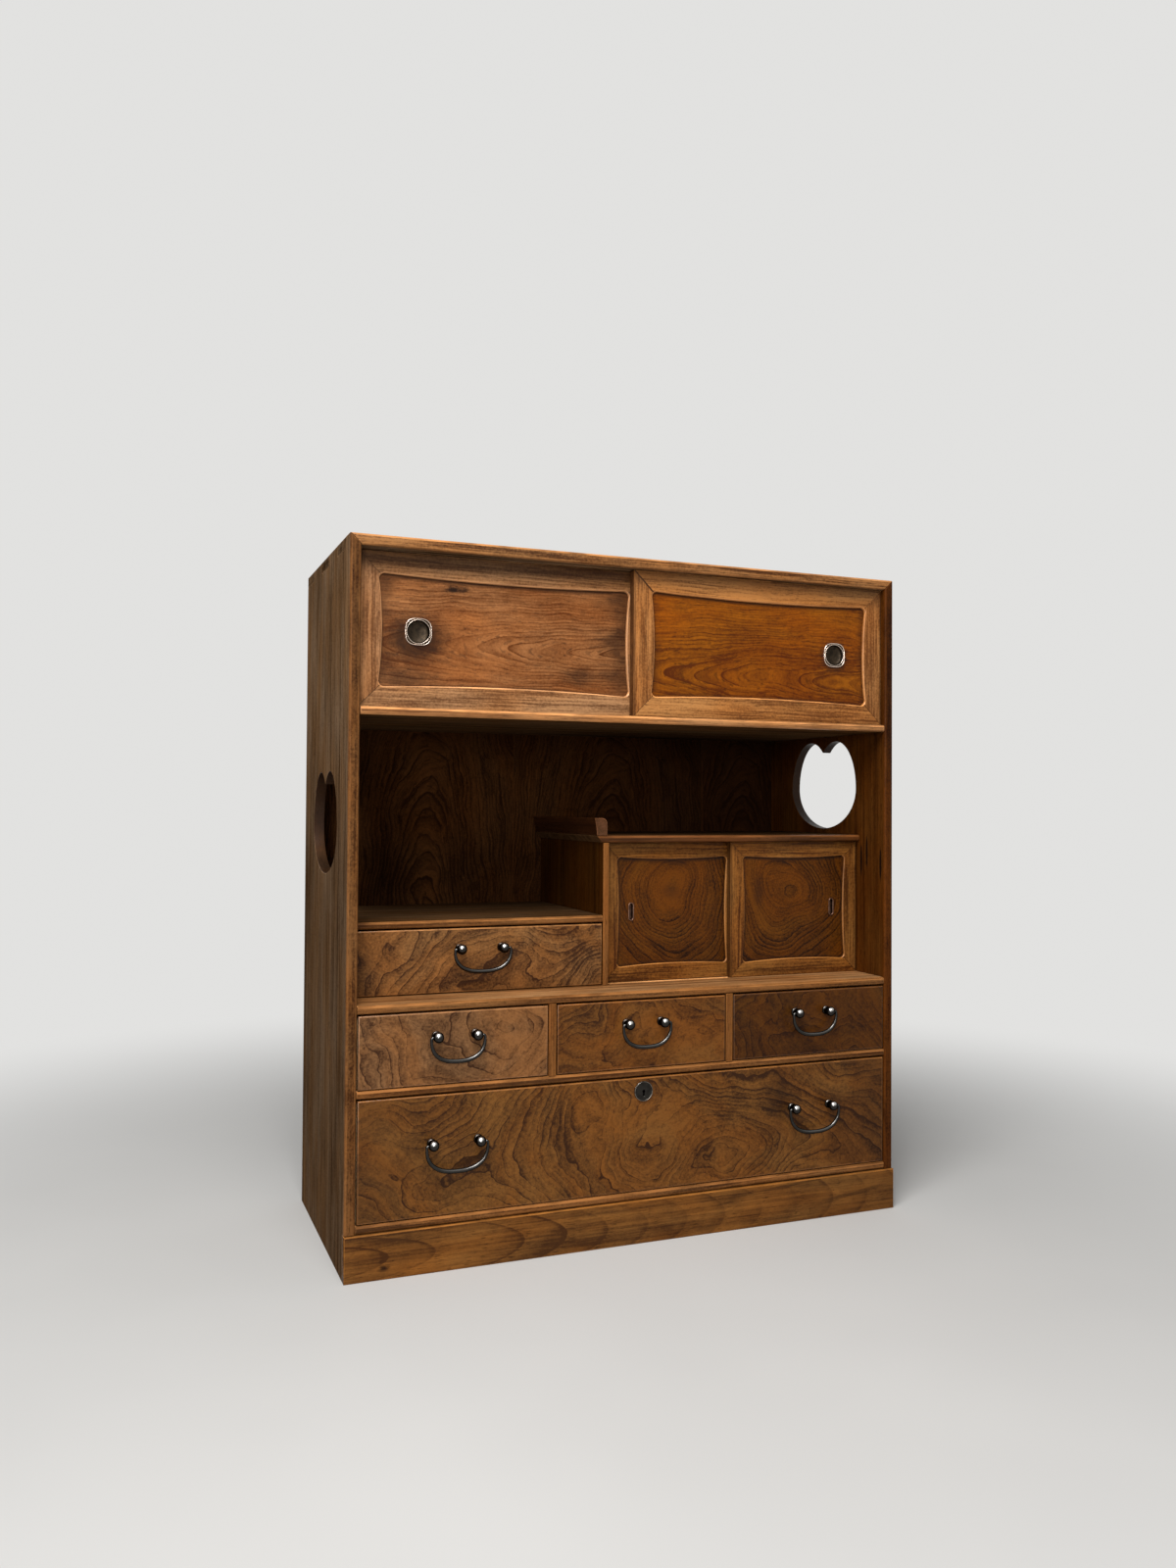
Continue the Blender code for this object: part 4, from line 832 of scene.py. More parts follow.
def plinth_marks_and_shade(bench, axes):
    """A knot low on the left, dark streaks that rise to the right, and a right end darkened as painted shade."""
    slope = bench.math("MULTIPLY_ADD", axes["X"], -0.075, axes["Z"])
    streak = bench.noise(bench.join(axes["X"], 0.0, slope), (5.0, 1.0, 75.0), 3.0, 0.55)
    streak = bench.math("MULTIPLY", bench.ramp(streak, 0.55, 0.68, 0.0, 0.55), bench.ramp(axes["X"], -0.10, 0.15))
    knot = patch(bench, axes, (-0.343, 0.014), (1.8, 1.0), 0.001, 0.0055, 0.006, 0.9)
    return darkest(bench, (streak, end_band(bench, axes, 0.3915, 0.30, 0.30), knot))


def side_shade(bench, axes):
    """Painted shade: the sides darken a little below the middle."""
    return bench.ramp(axes["Z"], 0.40, 0.78, 0.34, 0.0)


def heart_wall_shade(bench, axes):
    """Painted shade on an opening's wall: dark above, where the wall faces down, and clear below."""
    middle = HEART_CENTRES["left_side_panel"][1]
    return bench.ramp(axes["Z"], middle - 0.045, middle, 0.0, 0.6)


def mitre_line(bench, axes):
    """The dark open line of the mitres at the top front corners."""
    across = bench.math("SUBTRACT", axes["Z"], bench.math("ABSOLUTE", axes["X"]))
    far = bench.math("ABSOLUTE", bench.math("SUBTRACT", across, CAD_BOX[1][2] - CAD_BOX[1][0]))
    return bench.ramp(far, 0.0006, 0.0015, 0.9, 0.0)


def side_edge_marks(bench, axes):
    """The mitre line, and an edge that darkens towards the top."""
    return darkest(bench, (mitre_line(bench, axes), bench.ramp(axes["Z"], 0.45, 0.80, 0.0, 0.32)))


class TEACABINET_OT_case(bpy.types.Operator):
    """Finish the sides, the top, the back and the plinth"""

    bl_idname = "tea_cabinet.case"
    bl_label = "Case boards"

    def execute(self, context):
        sizes = context.scene.tea_cabinet_sizes
        side = wood("side_wood", "ZY", (0.10, 0.03, 0.10), shades("side"), taper=0.03, spacing=0.0062, waver=0.012,
                    lines=0.7, streaks=0.8, fibre=1.9, mottle=0.2, fleck=0.6, gloss=0.0, marks=side_shade)
        cracks = stains([((y, z), (1.0, 9.0), 0.0018, 0.0032, 0.0012, 0.97, "Y")
                         for y, z in ((-0.0965, 0.494), (-0.1104, 0.507), (-0.1441, 0.490))])
        inner = wood("side_inner_wood", "ZY", (0.10, -0.03, 0.30),
                     shades("edge", (0.41, 0.32, 0.16), (0.46, 0.36, 0.24)),
                     taper=0.03, waver=0.012, streaks=1.6, gloss=0.0, marks=cracks)
        wall = wood("heart_wall_wood", "ZX", (0.10, 0.30, 0.10),
                    shades("side", (0.30, 0.24, 0.20), (0.5, 0.4, 0.35)),
                    spacing=0.004, streaks=1.0, gloss=0.14, rubbed=False, marks=heart_wall_shade)
        # The right side's front edge is darker, partly as painted shade of light that falls off to the right.
        for node, wear_and_light in (("left_side_panel", (0.67, 0.67, 0.64)), ("right_side_panel", (0.32, 0.22, 0.09))):
            edge = wood(f"{node}_edge_wood", "ZX", (0.40, 0.25, -0.10), shades("edge", wear_and_light, wear_and_light), taper=0.02,
                        spacing=0.004, waver=0.006, streaks=1.6, fibre=2.0, mottle=1.8, fleck=1.8, gloss=0.06,
                        marks=side_edge_marks)
            dress_board(node, [side, edge, inner, wall], "case_wood", sizes.edge_ease, smooth_heart)
        top = wood("top_wood", "XY", (0.2, 0.02, 0.80), shades("side"), taper=0.10, spacing=0.007, waver=0.014,
                   streaks=1.6, fibre=1.6, gloss=0.0)
        edge_tones = shades("shelf", (0.88, 0.84, 0.78))[0], shades("edge")[1]
        top_edge = wood("top_edge_wood", "XZ", (0.3, 0.93, -0.15), edge_tones, taper=0.03, spacing=0.004,
                        waver=0.010, lines=1.0, streaks=3.4, fibre=2.6, mottle=1.2, fleck=1.4, marks=mitre_line)
        dress_board("top_board", [top, top_edge], "case_wood", sizes.edge_ease)
        plinth = wood("plinth_wood", "XZ", (-0.50, 0.026, -0.15), shades("plinth"), taper=0.15, spacing=0.0085,
                      waver=0.010, streaks=1.8, mottle=0.8, gloss=0.08, marks=plinth_marks_and_shade)
        dress_board("plinth", [plinth], "case_wood", sizes.shelf_ease)
        back = wood("back_board_wood", "ZX", (0.36, 0.0, 0.140), shades("back"), taper=0.22, spacing=0.0050,
                    waver=0.030, swirl=0.030, swirl_size=14.0, lines=1.6, streaks=0.8, fibre=1.8, fleck=1.0,
                    gloss=0.0, marks=back_shade, boards=back_centres)
        dress_board("back_panel", [back], "back_wood", sizes.edge_ease, sink_nails)
        return {"FINISHED"}


class TEACABINET_OT_shelves(bpy.types.Operator):
    """Finish the shelves, the dividers and the small cupboard"""

    bl_idname = "tea_cabinet.shelves"
    bl_label = "Shelves and dividers"

    def execute(self, context):
        sizes = context.scene.tea_cabinet_sizes

        def shelf_wood(name, way, heart, pale, dark, **figure):
            return wood(name, way, heart, shades("shelf", pale, dark), **figure)

        edges = {"taper": 0.03, "spacing": 0.004, "lines": 1.0}
        face = shelf_wood("shelf_face_wood", "XY", (0.3, 0.0, 0.02), (1.35, 1.42, 1.5), (1.3, 1.3, 1.3),
                          waver=0.012, streaks=2.0, gloss=0.04)
        # Painted shade: a darker copy of the shelf wood for the shelves in the niche, whose tops and undersides
        # lie in shade.
        shaded = shelf_wood("niche_shelf_wood", "XY", (0.3, 0.0, 0.02), (0.28, 0.31, 0.37), (0.32, 0.36, 0.42),
                            waver=0.012, streaks=2.0, gloss=0.0)
        edge = shelf_wood("shelf_edge_wood", "XZ", (0.3, 0.10, -0.14), (0.62, 0.55, 0.45), (0.7, 0.66, 0.6),
                          streaks=3.4, fibre=2.6, mottle=0.8, fleck=1.4, gloss=0.08, **edges)
        # Painted shade: a darker copy of the edge wood for the cupboard top's edge, in the niche.
        dim = shelf_wood("cupboard_edge_wood", "XZ", (0.3, 0.40, -0.14), (0.36, 0.28, 0.22), (0.42, 0.36, 0.32),
                         streaks=2.6, fibre=2.0, **edges)
        # Painted highlight: a lighter, glossier copy of the edge wood for the upper shelf's front edge.
        bright = shelf_wood("upper_edge_wood", "XZ", (0.3, 0.50, -0.14), (1.25, 1.22, 1.20), (1.5, 1.5, 1.5),
                            streaks=3.2, fibre=2.4, gloss=0.20, **edges)
        upright = shelf_wood("upright_wood", "ZY", (0.3, 0.0, 0.4), (0.50, 0.42, 0.34), (0.55, 0.50, 0.45),
                             taper=0.05, waver=0.010, streaks=2.0, gloss=0.06)
        upright_edge = shelf_wood("upright_edge_wood", "ZX", (0.3, 0.10, -0.14), (0.60, 0.50, 0.36),
                                  (0.8, 0.7, 0.6), taper=0.03, spacing=0.004, waver=0.006, streaks=2.2, fibre=1.8,
                                  fleck=0.8, gloss=0.06)
        # The cupboard wall's wood is darkened partly as painted shade of the niche.
        wall = shelf_wood("cupboard_wall_wood", "ZY", (0.3, 0.0, 0.4), (0.19, 0.14, 0.06), (0.24, 0.18, 0.10),
                          taper=0.05, waver=0.010, streaks=1.6, fibre=1.6, gloss=0.0)
        # The brush return's wood is darkened partly as painted shade of the niche.
        deep = shelf_wood("brush_wood", "YX", (0.3, -0.03, 0.52), (0.14, 0.10, 0.09), (0.20, 0.17, 0.17),
                          taper=0.05, waver=0.006, gloss=0.10)
        end = shelf_wood("brush_end_wood", "YX", (0.3, -0.03, 0.52), (0.56, 0.48, 0.60), PLAIN,
                         taper=0.05, spacing=0.003, waver=0.006, mottle=1.2, gloss=0.15)
        level = {
            "mid_shelf": [face, edge], "lower_shelf": [face, edge], "bottom_board": [face, edge],
            "upper_shelf": [shaded, bright], "left_shelf": [shaded, edge], "cupboard_top": [shaded, dim],
        }
        small = {
            "cupboard_wall": [wall, upright_edge], "drawer_divider_left": [upright, upright_edge],
            "drawer_divider_right": [upright, upright_edge], "brush_return": [deep, end],
        }
        for boards, width in ((level, sizes.shelf_ease), (small, sizes.edge_ease)):
            for node, materials in boards.items():
                dress_board(node, materials, "shelf_wood", width)
        return {"FINISHED"}


# Doors

def edge_curve(run, bow, corner):
    """A frame member's inner edge from mitre to mitre, as (along, inward)."""
    turn = []
    for angle in spread(math.radians(45), math.radians(90), CORNER_STEPS + 1):
        turn.append((corner * (1 - math.cos(angle)), corner * (1 - math.sin(angle))))
    straight = run - 2 * corner
    shares = [step / BOW_STEPS for step in range(1, BOW_STEPS)]
    bowed = [(corner + straight * share, bow * (1 - (2 * share - 1) ** 2)) for share in shares]
    return turn + bowed + [(run - along, inward) for along, inward in reversed(turn)]


def frame_section(inner, outer, face, shape, lip, ease):
    """The section of a frame member at one place, as (along, inward, y) points round it."""
    inner, outer = Vector(inner), Vector(outer)
    reach = (outer - inner).normalized()
    back = face + shape["thickness"]
    panel = face + shape["recess"] - FIT
    panel_back = face + shape["recess"] + shape["panel"] + FIT
    seat = shape["seat"] + FIT

    def at(offset, y, start=inner):
        spot = start + reach * offset
        return spot.x, spot.y, y

    section = [at(0.0, face + ease, outer), at(-ease, face, outer)]
    for angle in spread(0.0, math.pi / 2, LIP_STEPS + 1):
        section.append(at(lip * (1 - math.sin(angle)), face + lip * (1 - math.cos(angle))))
    section += [at(0.0, panel), at(seat, panel), at(seat, panel_back), at(0.0, panel_back)]
    section += [at(0.0, back - ease), at(ease, back), at(-ease, back, outer), at(0.0, back - ease, outer)]
    return section


def frame_member(bm, corner, turn, run, face, shape, lip, sizes, material):
    """One mitred member. Corner is the opening's corner where it starts, turn the way it runs."""
    forward = Vector((math.cos(turn), math.sin(turn)))
    inward = Vector((-math.sin(turn), math.cos(turn)))
    curve = edge_curve(run, shape["bow"], shape["corner"])
    stile = shape["stile"]
    first = curve[0][0]
    span = curve[-1][0] - first
    gaps = {0: sizes.mitre_gap / 2, len(curve) - 1: -sizes.mitre_gap / 2}
    columns = []
    for index, (along, inner) in enumerate(curve):
        outer = -stile + (run + 2 * stile) * (along - first) / span
        gap = gaps.get(index, 0.0)
        section = frame_section((along + gap, inner), (outer + gap, -stile), face, shape, lip, sizes.edge_ease)
        spots = [(corner + forward * u + inward * v, y) for u, v, y in section]
        columns.append([bm.verts.new((spot.x, y, spot.y)) for spot, y in spots])
    for end in (columns[0], columns[-1]):
        bm.faces.new(end).material_index = material
    skin(bm, columns, lambda row, index: material + 2 * (index in LIP_ROWS))


def dress_frame(name, kind, materials, sizes):
    """A door frame of four mitred members, with the tongues that run in the grooves."""
    shape = DOOR_SHAPES[kind]
    node = f"{name}_frame"
    low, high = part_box(node)
    panel_low, panel_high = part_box(f"{name}_panel")
    left, right = panel_low.x + shape["seat"], panel_high.x - shape["seat"]
    foot, head = panel_low.z + shape["seat"], panel_high.z - shape["seat"]
    wide, tall = right - left, head - foot
    lip = sizes.lip_round if kind == "top" else sizes.lip_round * 0.7
    bm = bmesh.new()
    starts = ((left, foot, wide), (right, foot, tall), (right, head, wide), (left, head, tall))
    for quarter, (x, z, run) in enumerate(starts):
        frame_member(bm, Vector((x, z)), quarter * math.pi / 2, run, low.y, shape, lip, sizes, quarter % 2)
    bmesh.ops.recalc_face_normals(bm, faces=bm.faces)
    middle = low.y + shape["thickness"] / 2
    half = shape["tongue"] / 2
    inset = sizes.edge_ease + TONGUE_INSET
    reach = shape["stile"] - TONGUE_SINK
    for z0, z1 in ((low.z, foot - reach), (head + reach, high.z)):
        box(bm, (low.x + inset, middle - half, z0), (high.x - inset, middle + half, z1))
    add_piece(f"finished_{node}", bm, materials, name, "frame_wood", (node,))


def frame_shade_and_joints(name, under):
    """Painted shade on a door frame: a painted shadow under the board above it and shade at its outer ends, with
    dark lines in its mitres.

    The upper right door's first mitre has opened.
    """
    shape = DOOR_SHAPES[DOORS[name]]
    low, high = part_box(f"{name}_frame")
    panel_low, panel_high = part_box(f"{name}_panel")
    margin = shape["stile"] - shape["seat"]

    def marks(bench, axes):
        left = bench.math("SUBTRACT", axes["X"], low.x)
        side = bench.math("MINIMUM", left, bench.math("SUBTRACT", high.x, axes["X"]))
        top = bench.math("SUBTRACT", panel_high.z + margin, axes["Z"])
        end = bench.math("MINIMUM", top, bench.math("SUBTRACT", axes["Z"], panel_low.z - margin))
        mitre = bench.math("ABSOLUTE", bench.math("SUBTRACT", side, end))
        # Dark mitre lines, the painted shadow under the board above and painted shade at the outer ends.
        found = [
            bench.ramp(mitre, 0.0002, 0.0011, 0.60, 0.0),
            bench.ramp(top, shape["stile"] * 0.2, shape["stile"] * 1.2, under, 0.0),
            bench.ramp(side, 0.0008, 0.0042, 0.62, 0.0),
        ]
        if name == "top_right_door":
            opened = bench.math("ABSOLUTE", bench.math("SUBTRACT", left, top))
            opened = bench.ramp(opened, 0.0008, 0.0022, 0.95, 0.0)
            found.append(bench.math("MULTIPLY", opened, bench.math("LESS_THAN", top, shape["stile"] * 1.2)))
        return darkest(bench, found)

    return marks


# A frame's tones, its gloss and the painted shadow under the board above it
FRAME_LOOKS = {
    "top_left_door": (("frame",), 0.14, 0.74),
    "top_right_door": (("frame", (1.0, 0.88, 0.62), (1.0, 0.86, 0.6)), 0.14, 0.62),
    "small_left_door": (("small_frame",), 0.10, 0.35),
    "small_right_door": (("small_frame",), 0.10, 0.35),
}


class TEACABINET_OT_door_frames(bpy.types.Operator):
    """Build the mitred frames of the four sliding doors"""

    bl_idname = "tea_cabinet.door_frames"
    bl_label = "Door frames"

    def execute(self, context):
        for name, kind in DOORS.items():
            family, gloss, under = FRAME_LOOKS[name]
            pale, dark = shades(*family)
            low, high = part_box(f"{name}_frame")
            figure = {"taper": 0.05, "spacing": 0.0050, "streaks": 2.0, "fibre": 2.4, "mottle": 0.7, "fleck": 1.3,
                      "gloss": gloss, "marks": frame_shade_and_joints(name, under)}
            materials = [
                wood(f"{name}_rail_wood", "XZ", (0.1, high.z + 0.05, -0.14), (pale, dark), waver=0.030, lines=1.1,
                     seed=low.x, **figure),
                wood(f"{name}_stile_wood", "ZX", (0.9, low.x - 0.05, -0.14),
                     (scaled(pale, (0.9, 0.9, 0.95)), dark), waver=0.018, lines=0.9, **figure),
            ]
            # The lips are a paler, glossier copy of the wood, paler in part as a painted highlight.
            for part, way in (("rail", "XZ"), ("stile", "ZX")):
                materials.append(wood(
                    f"{name}_{part}_lip_wood", way, (0.1, 0.9, -0.14), (scaled(pale, (1.1, 1.1, 1.1)), dark),
                    spacing=0.0040, streaks=1.6, fibre=1.2, pores=0.2, gloss=0.55))
            dress_frame(name, kind, materials, context.scene.tea_cabinet_sizes)
        return {"FINISHED"}


def panel_rim_shade(name, marks):
    """Marks of a panel, with painted shade along the frame's bowed edge: a painted shadow under the top, lighter
    shade at the other sides.
    """
    shape = DOOR_SHAPES[DOORS[name]]
    seat = Vector((shape["seat"],) * 3)
    low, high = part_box(f"{name}_panel")
    low, high = low + seat, high - seat

    def stand(bench, value, start, end):
        """How far the frame's edge stands in at a place along it."""
        share = bench.math("DIVIDE", bench.math("SUBTRACT", value, (start + end) / 2), (end - start) / 2)
        share = bench.math("SUBTRACT", 1.0, bench.math("MULTIPLY", share, share))
        return bench.math("MULTIPLY", share, shape["bow"])

    def all_marks(bench, axes):
        across = stand(bench, axes["X"], low.x, high.x)
        upright = stand(bench, axes["Z"], low.z, high.z)
        top, foot, left, right = (
            bench.math("SUBTRACT", bench.math("SUBTRACT", first, second), edge)
            for first, second, edge in ((high.z, axes["Z"], across), (axes["Z"], low.z, across),
                                        (axes["X"], low.x, upright), (high.x, axes["X"], upright)))
        rest = bench.math("MINIMUM", foot, bench.math("MINIMUM", left, right))
        # Painted shadow under the top of the opening, lighter painted shade along the other sides.
        rim_shade = bench.ramp(top, 0.0005, 0.0065, 0.80, 0.0), bench.ramp(rest, 0.0, 0.0050, 0.55, 0.0)
        return darkest(bench, (marks(bench, axes), *rim_shade))

    return all_marks


EGG_TONES = ("burl", (0.40, 0.27, 0.06), (0.26, 0.20, 0.12))
EGG_FIGURE = {"waver": 0.020, "swirl": 0.06, "swirl_size": 9.0, "lines": 1.3, "streaks": 0.8, "fibre": 1.0,
              "mottle": 0.9, "fleck": 1.3, "pores": 0.15}

# A panel's slot, heart line, tones, figure and marks
PANEL_LOOKS = {
    "top_left_door": (
        "panel_wood", (0.07, 0.774, -0.125), ("panel", (0.84, 0.87, 0.86), (0.72, 0.70, 0.60)),
        {"taper": 0.085, "spacing": 0.0036, "waver": 0.022, "swirl": 0.012, "swirl_size": 14.0, "seed": 1.0,
         "lines": 0.9, "streaks": 1.0, "fibre": 1.3, "mottle": 0.5, "fleck": 0.8},
        # Handling stains round the pull, a knot above it, smoky spots and dark ends
        stains((((-0.3020, 0.780), (1.3, 1.0), 0.014, 0.044, 0.020, 0.85),
                ((-0.252, 0.8448), (3.0, 1.0), 0.0016, 0.0070, 0.011, 0.97),
                ((-0.083, 0.742), (1.8, 1.0), 0.000, 0.022, 0.018, 0.60),
                ((-0.322, 0.728), (2.6, 1.0), 0.000, 0.028, 0.024, 0.62)),
               ((-0.3510, 0.030, 0.60), (-0.0140, 0.060, 0.72)))),
    "top_right_door": (
        "panel_wood", (0.47, 0.751, -0.13), ("panel", (0.66, 0.48, 0.06), (0.56, 0.40, 0.14)),
        {"taper": 0.085, "spacing": 0.0036, "waver": 0.020, "swirl": 0.018, "swirl_size": 12.0, "seed": 2.0,
         "lines": 1.0, "streaks": 0.9, "fibre": 1.6, "mottle": 0.4, "fleck": 0.8},
        # A narrow stain round the pull and dark ends
        stains((((0.2999, 0.786), (1.0, 1.0), 0.014, 0.028, 0.010, 0.8),),
               ((0.0140, 0.016, 0.45), (0.3510, 0.020, 0.60)))),
    "small_left_door": (
        "burl_wood", (0.088, 0.450, -0.06), EGG_TONES,
        {"taper": 1.15, "spacing": 0.0062, "seed": 3.0, "core": 4.6, **EGG_FIGURE},
        # Smoky spots over and across the plain core
        stains((((0.090, 0.498), (2.0, 1.0), 0.002, 0.016, 0.012, 0.60),
                ((0.080, 0.452), (1.5, 1.0), 0.000, 0.016, 0.014, 0.40)))),
    "small_right_door": (
        "burl_wood", (0.262, 0.458, -0.07), EGG_TONES,
        {"taper": 1.10, "spacing": 0.0058, "seed": 4.0, "core": 3.6, **EGG_FIGURE},
        # A smoky cap over the core and a darker left edge
        stains((((0.262, 0.497), (2.2, 1.0), 0.001, 0.012, 0.010, 0.50),
                ((0.212, 0.450), (1.0, 3.0), 0.000, 0.013, 0.008, 0.50)))),
}


class TEACABINET_OT_door_panels(bpy.types.Operator):
    """Give the four door panels their figure"""

    bl_idname = "tea_cabinet.door_panels"
    bl_label = "Door panels"

    def execute(self, context):
        for name, (slot, heart, family, figure, marks) in PANEL_LOOKS.items():
            material = wood(name.replace("_door", "_panel_wood"), "XZ", heart, shades(*family),
                            marks=panel_rim_shade(name, marks), **figure)
            dress_board(f"{name}_panel", [material], slot, PANEL_EASE)
        return {"FINISHED"}


def pull_outline(reach):
    """Squares the band of a round pull at its width. The plate between the rims takes up the corners."""
    def stretch(radius, angle):
        if radius <= reach - PULL_BAND - JOIN:
            return radius
        power = PULL_SQUARENESS
        square = reach / (abs(math.cos(angle)) ** power + abs(math.sin(angle)) ** power) ** (1 / power)
        return square - (reach - radius)

    return stretch


class TEACABINET_OT_round_pulls(bpy.types.Operator):
    """Turn the round pulls: a squarish outer rim, a round inner rim and a cup"""

    bl_idname = "tea_cabinet.round_pulls"
    bl_label = "Round pulls"

    def execute(self, context):
        rim = metal("pull_rim_copper", context.scene.tea_cabinet_colours.copper, 0.20, (0.42, 0.29, 0.21), 0.40)
        cup = metal("pull_cup_bronze", (0.048, 0.034, 0.022), 0.42, (0.016, 0.013, 0.010), 0.9)
        reach = context.scene.tea_cabinet_sizes.pull_radius
        plate_in, plate_out = PULL_CUP + PULL_WIRE, reach - PULL_BAND
        ring = arc((PULL_CUP + PULL_WIRE / 2, 0.0011), PULL_WIRE / 2, 0.0007, 180, 0, 8)
        band = arc((reach - PULL_BAND / 2, 0.0010), PULL_BAND / 2, 0.0009, 180, 0, 8)
        outline = pull_outline(reach)
        for name in ("top_left_door", "top_right_door"):
            node = f"{name}_pull"
            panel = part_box(f"{name}_panel")[0].y
            middle = middle_of(node)
            centre = (middle.x, panel, middle.z)
            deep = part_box(node)[1].y - panel
            bowl = [(PULL_CUP * math.sin(turn), -(deep - 0.001) * math.cos(turn) ** 0.75)
                    for turn in (math.radians(9 * step) for step in range(9))]
            shell = [(plate_in, -0.0002), (plate_in, -0.35 * deep), (PULL_CUP * 0.8, -0.8 * deep),
                     (PULL_CUP * 0.45, -deep), (0.0, -deep)]
            bm = bmesh.new()
            turned(bm, [*bowl, (PULL_CUP, 0.0)], centre, material=1)
            turned(bm, [(PULL_CUP, 0.0), *ring, (plate_in, PULL_PLATE)], centre)
            turned(bm, [(plate_in, PULL_PLATE), (plate_out, PULL_PLATE)], centre, outline=outline, material=1)
            turned(bm, [(plate_out, PULL_PLATE), *band, (reach, -0.0002), (PULL_CUP, -0.0002)], centre,
                   outline=outline)
            turned(bm, shell, centre, material=1)
            add_piece(f"finished_{node}", bm, [rim, cup], name, "copper", (node,))
        return {"FINISHED"}


class TEACABINET_OT_slot_pulls(bpy.types.Operator):
    """Build the narrow pulls of the small doors: a rounded rim and a dished slot"""

    bl_idname = "tea_cabinet.slot_pulls"
    bl_label = "Slot pulls"

    def execute(self, context):
        copper = scaled(context.scene.tea_cabinet_colours.copper, (0.30, 0.19, 0.15))
        rim = metal("slot_rim_copper", copper, 0.26, (0.10, 0.05, 0.03), 0.6, 0.3)
        dish = metal("slot_dish_bronze", (0.12, 0.065, 0.045), 0.40, (0.030, 0.018, 0.014), 0.8)
        for name in ("small_left_door", "small_right_door"):
            node = f"{name}_pull"
            low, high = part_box(node)
            middle = middle_of(node)
            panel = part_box(f"{name}_panel")[0].y
            rise = (high.z - low.z - high.x + low.x) / 2
            bm = bmesh.new()

            def loop(inset, y):
                """Points round an upright slot with round ends."""
                radius = (high.x - low.x) / 2 - inset
                points = arc((middle.x, middle.z + rise), radius, radius, 0, 180, 16)
                points += arc((middle.x, middle.z - rise), radius, radius, 180, 360, 16)
                return [bm.verts.new((u, y, v)) for u, v in points]

            rounded = [(0.0, panel), *((inset, low.y + depth) for inset, depth in SLOT_RIM)]
            dished = [(0.0020, panel + 0.0012), (0.0026, high.y - 0.0011)]
            loops = [loop(inset, y) for inset, y in rounded + dished]
            behind = loop(0.0009, high.y)
            skin(bm, loops, lambda row, index: int(row >= len(rounded) - 1))
            skin(bm, [behind, loops[0]], lambda row, index: 1)
            for end in (loops[-1], behind[::-1]):
                bm.faces.new(end).material_index = 1
            close_seams(bm)
            add_piece(f"finished_{node}", bm, [rim, dish], name, "copper", (node,))
        return {"FINISHED"}


# Drawers

FRONT_FIGURE = {"waver": 0.020, "line_start": 0.84, "streaks": 0.9, "fibre": 0.9, "mottle": 1.1, "fleck": 1.3,
                "pores": 0.08}

# A drawer front's heart line, tones and own figure
FRONT_LOOKS = {
    "upper_drawer": ((-0.02, 0.33, -0.08), ("burl", (0.89, 0.85, 0.72)), {
        "taper": 0.40, "spacing": 0.0085, "swirl": 0.30, "swirl_size": 5.0, "seed": 5.0, "lines": 1.4}),
    "left_drawer": ((-0.20, 0.33, -0.14), ("burl", (0.76, 0.77, 0.82)), {
        "taper": 0.55, "spacing": 0.0100, "swirl": 0.30, "swirl_size": 5.0, "seed": 6.0, "lines": 1.1}),
    # The middle and right drawers' tones are darkened partly as painted shade, the light falling off to the right.
    "middle_drawer": ((0.02, 0.20, -0.14), ("burl", (0.57, 0.46, 0.25), (0.76, 0.66, 0.56)), {
        "taper": 0.5, "spacing": 0.0100, "swirl": 0.30, "swirl_size": 5.0, "seed": 7.0, "lines": 1.1}),
    "right_drawer": ((0.30, 0.24, -0.14), ("burl", (0.29, 0.22, 0.085), (0.5, 0.42, 0.34)), {
        "taper": 0.5, "spacing": 0.0080, "swirl": 0.28, "swirl_size": 5.0, "seed": 8.0, "lines": 1.5}),
    "bottom_drawer": ((0.03, 0.115, -0.13), ("burl", (0.61, 0.52, 0.30), (0.80, 0.75, 0.65)), {
        "taper": 0.45, "spacing": 0.0080, "swirl": 0.36, "swirl_size": 4.0, "seed": 9.0, "lines": 1.5, "core": 1.5,
        # A smoky patch left of the right-hand handle, a darker left end, and a right end darkened as painted shade
        "marks": stains((((0.205, 0.170), (1.0, 1.6), 0.004, 0.036, 0.026, 0.55),),
                        ((0.3770, 0.150, 0.40), (-0.3770, 0.150, 0.30)))}),
}


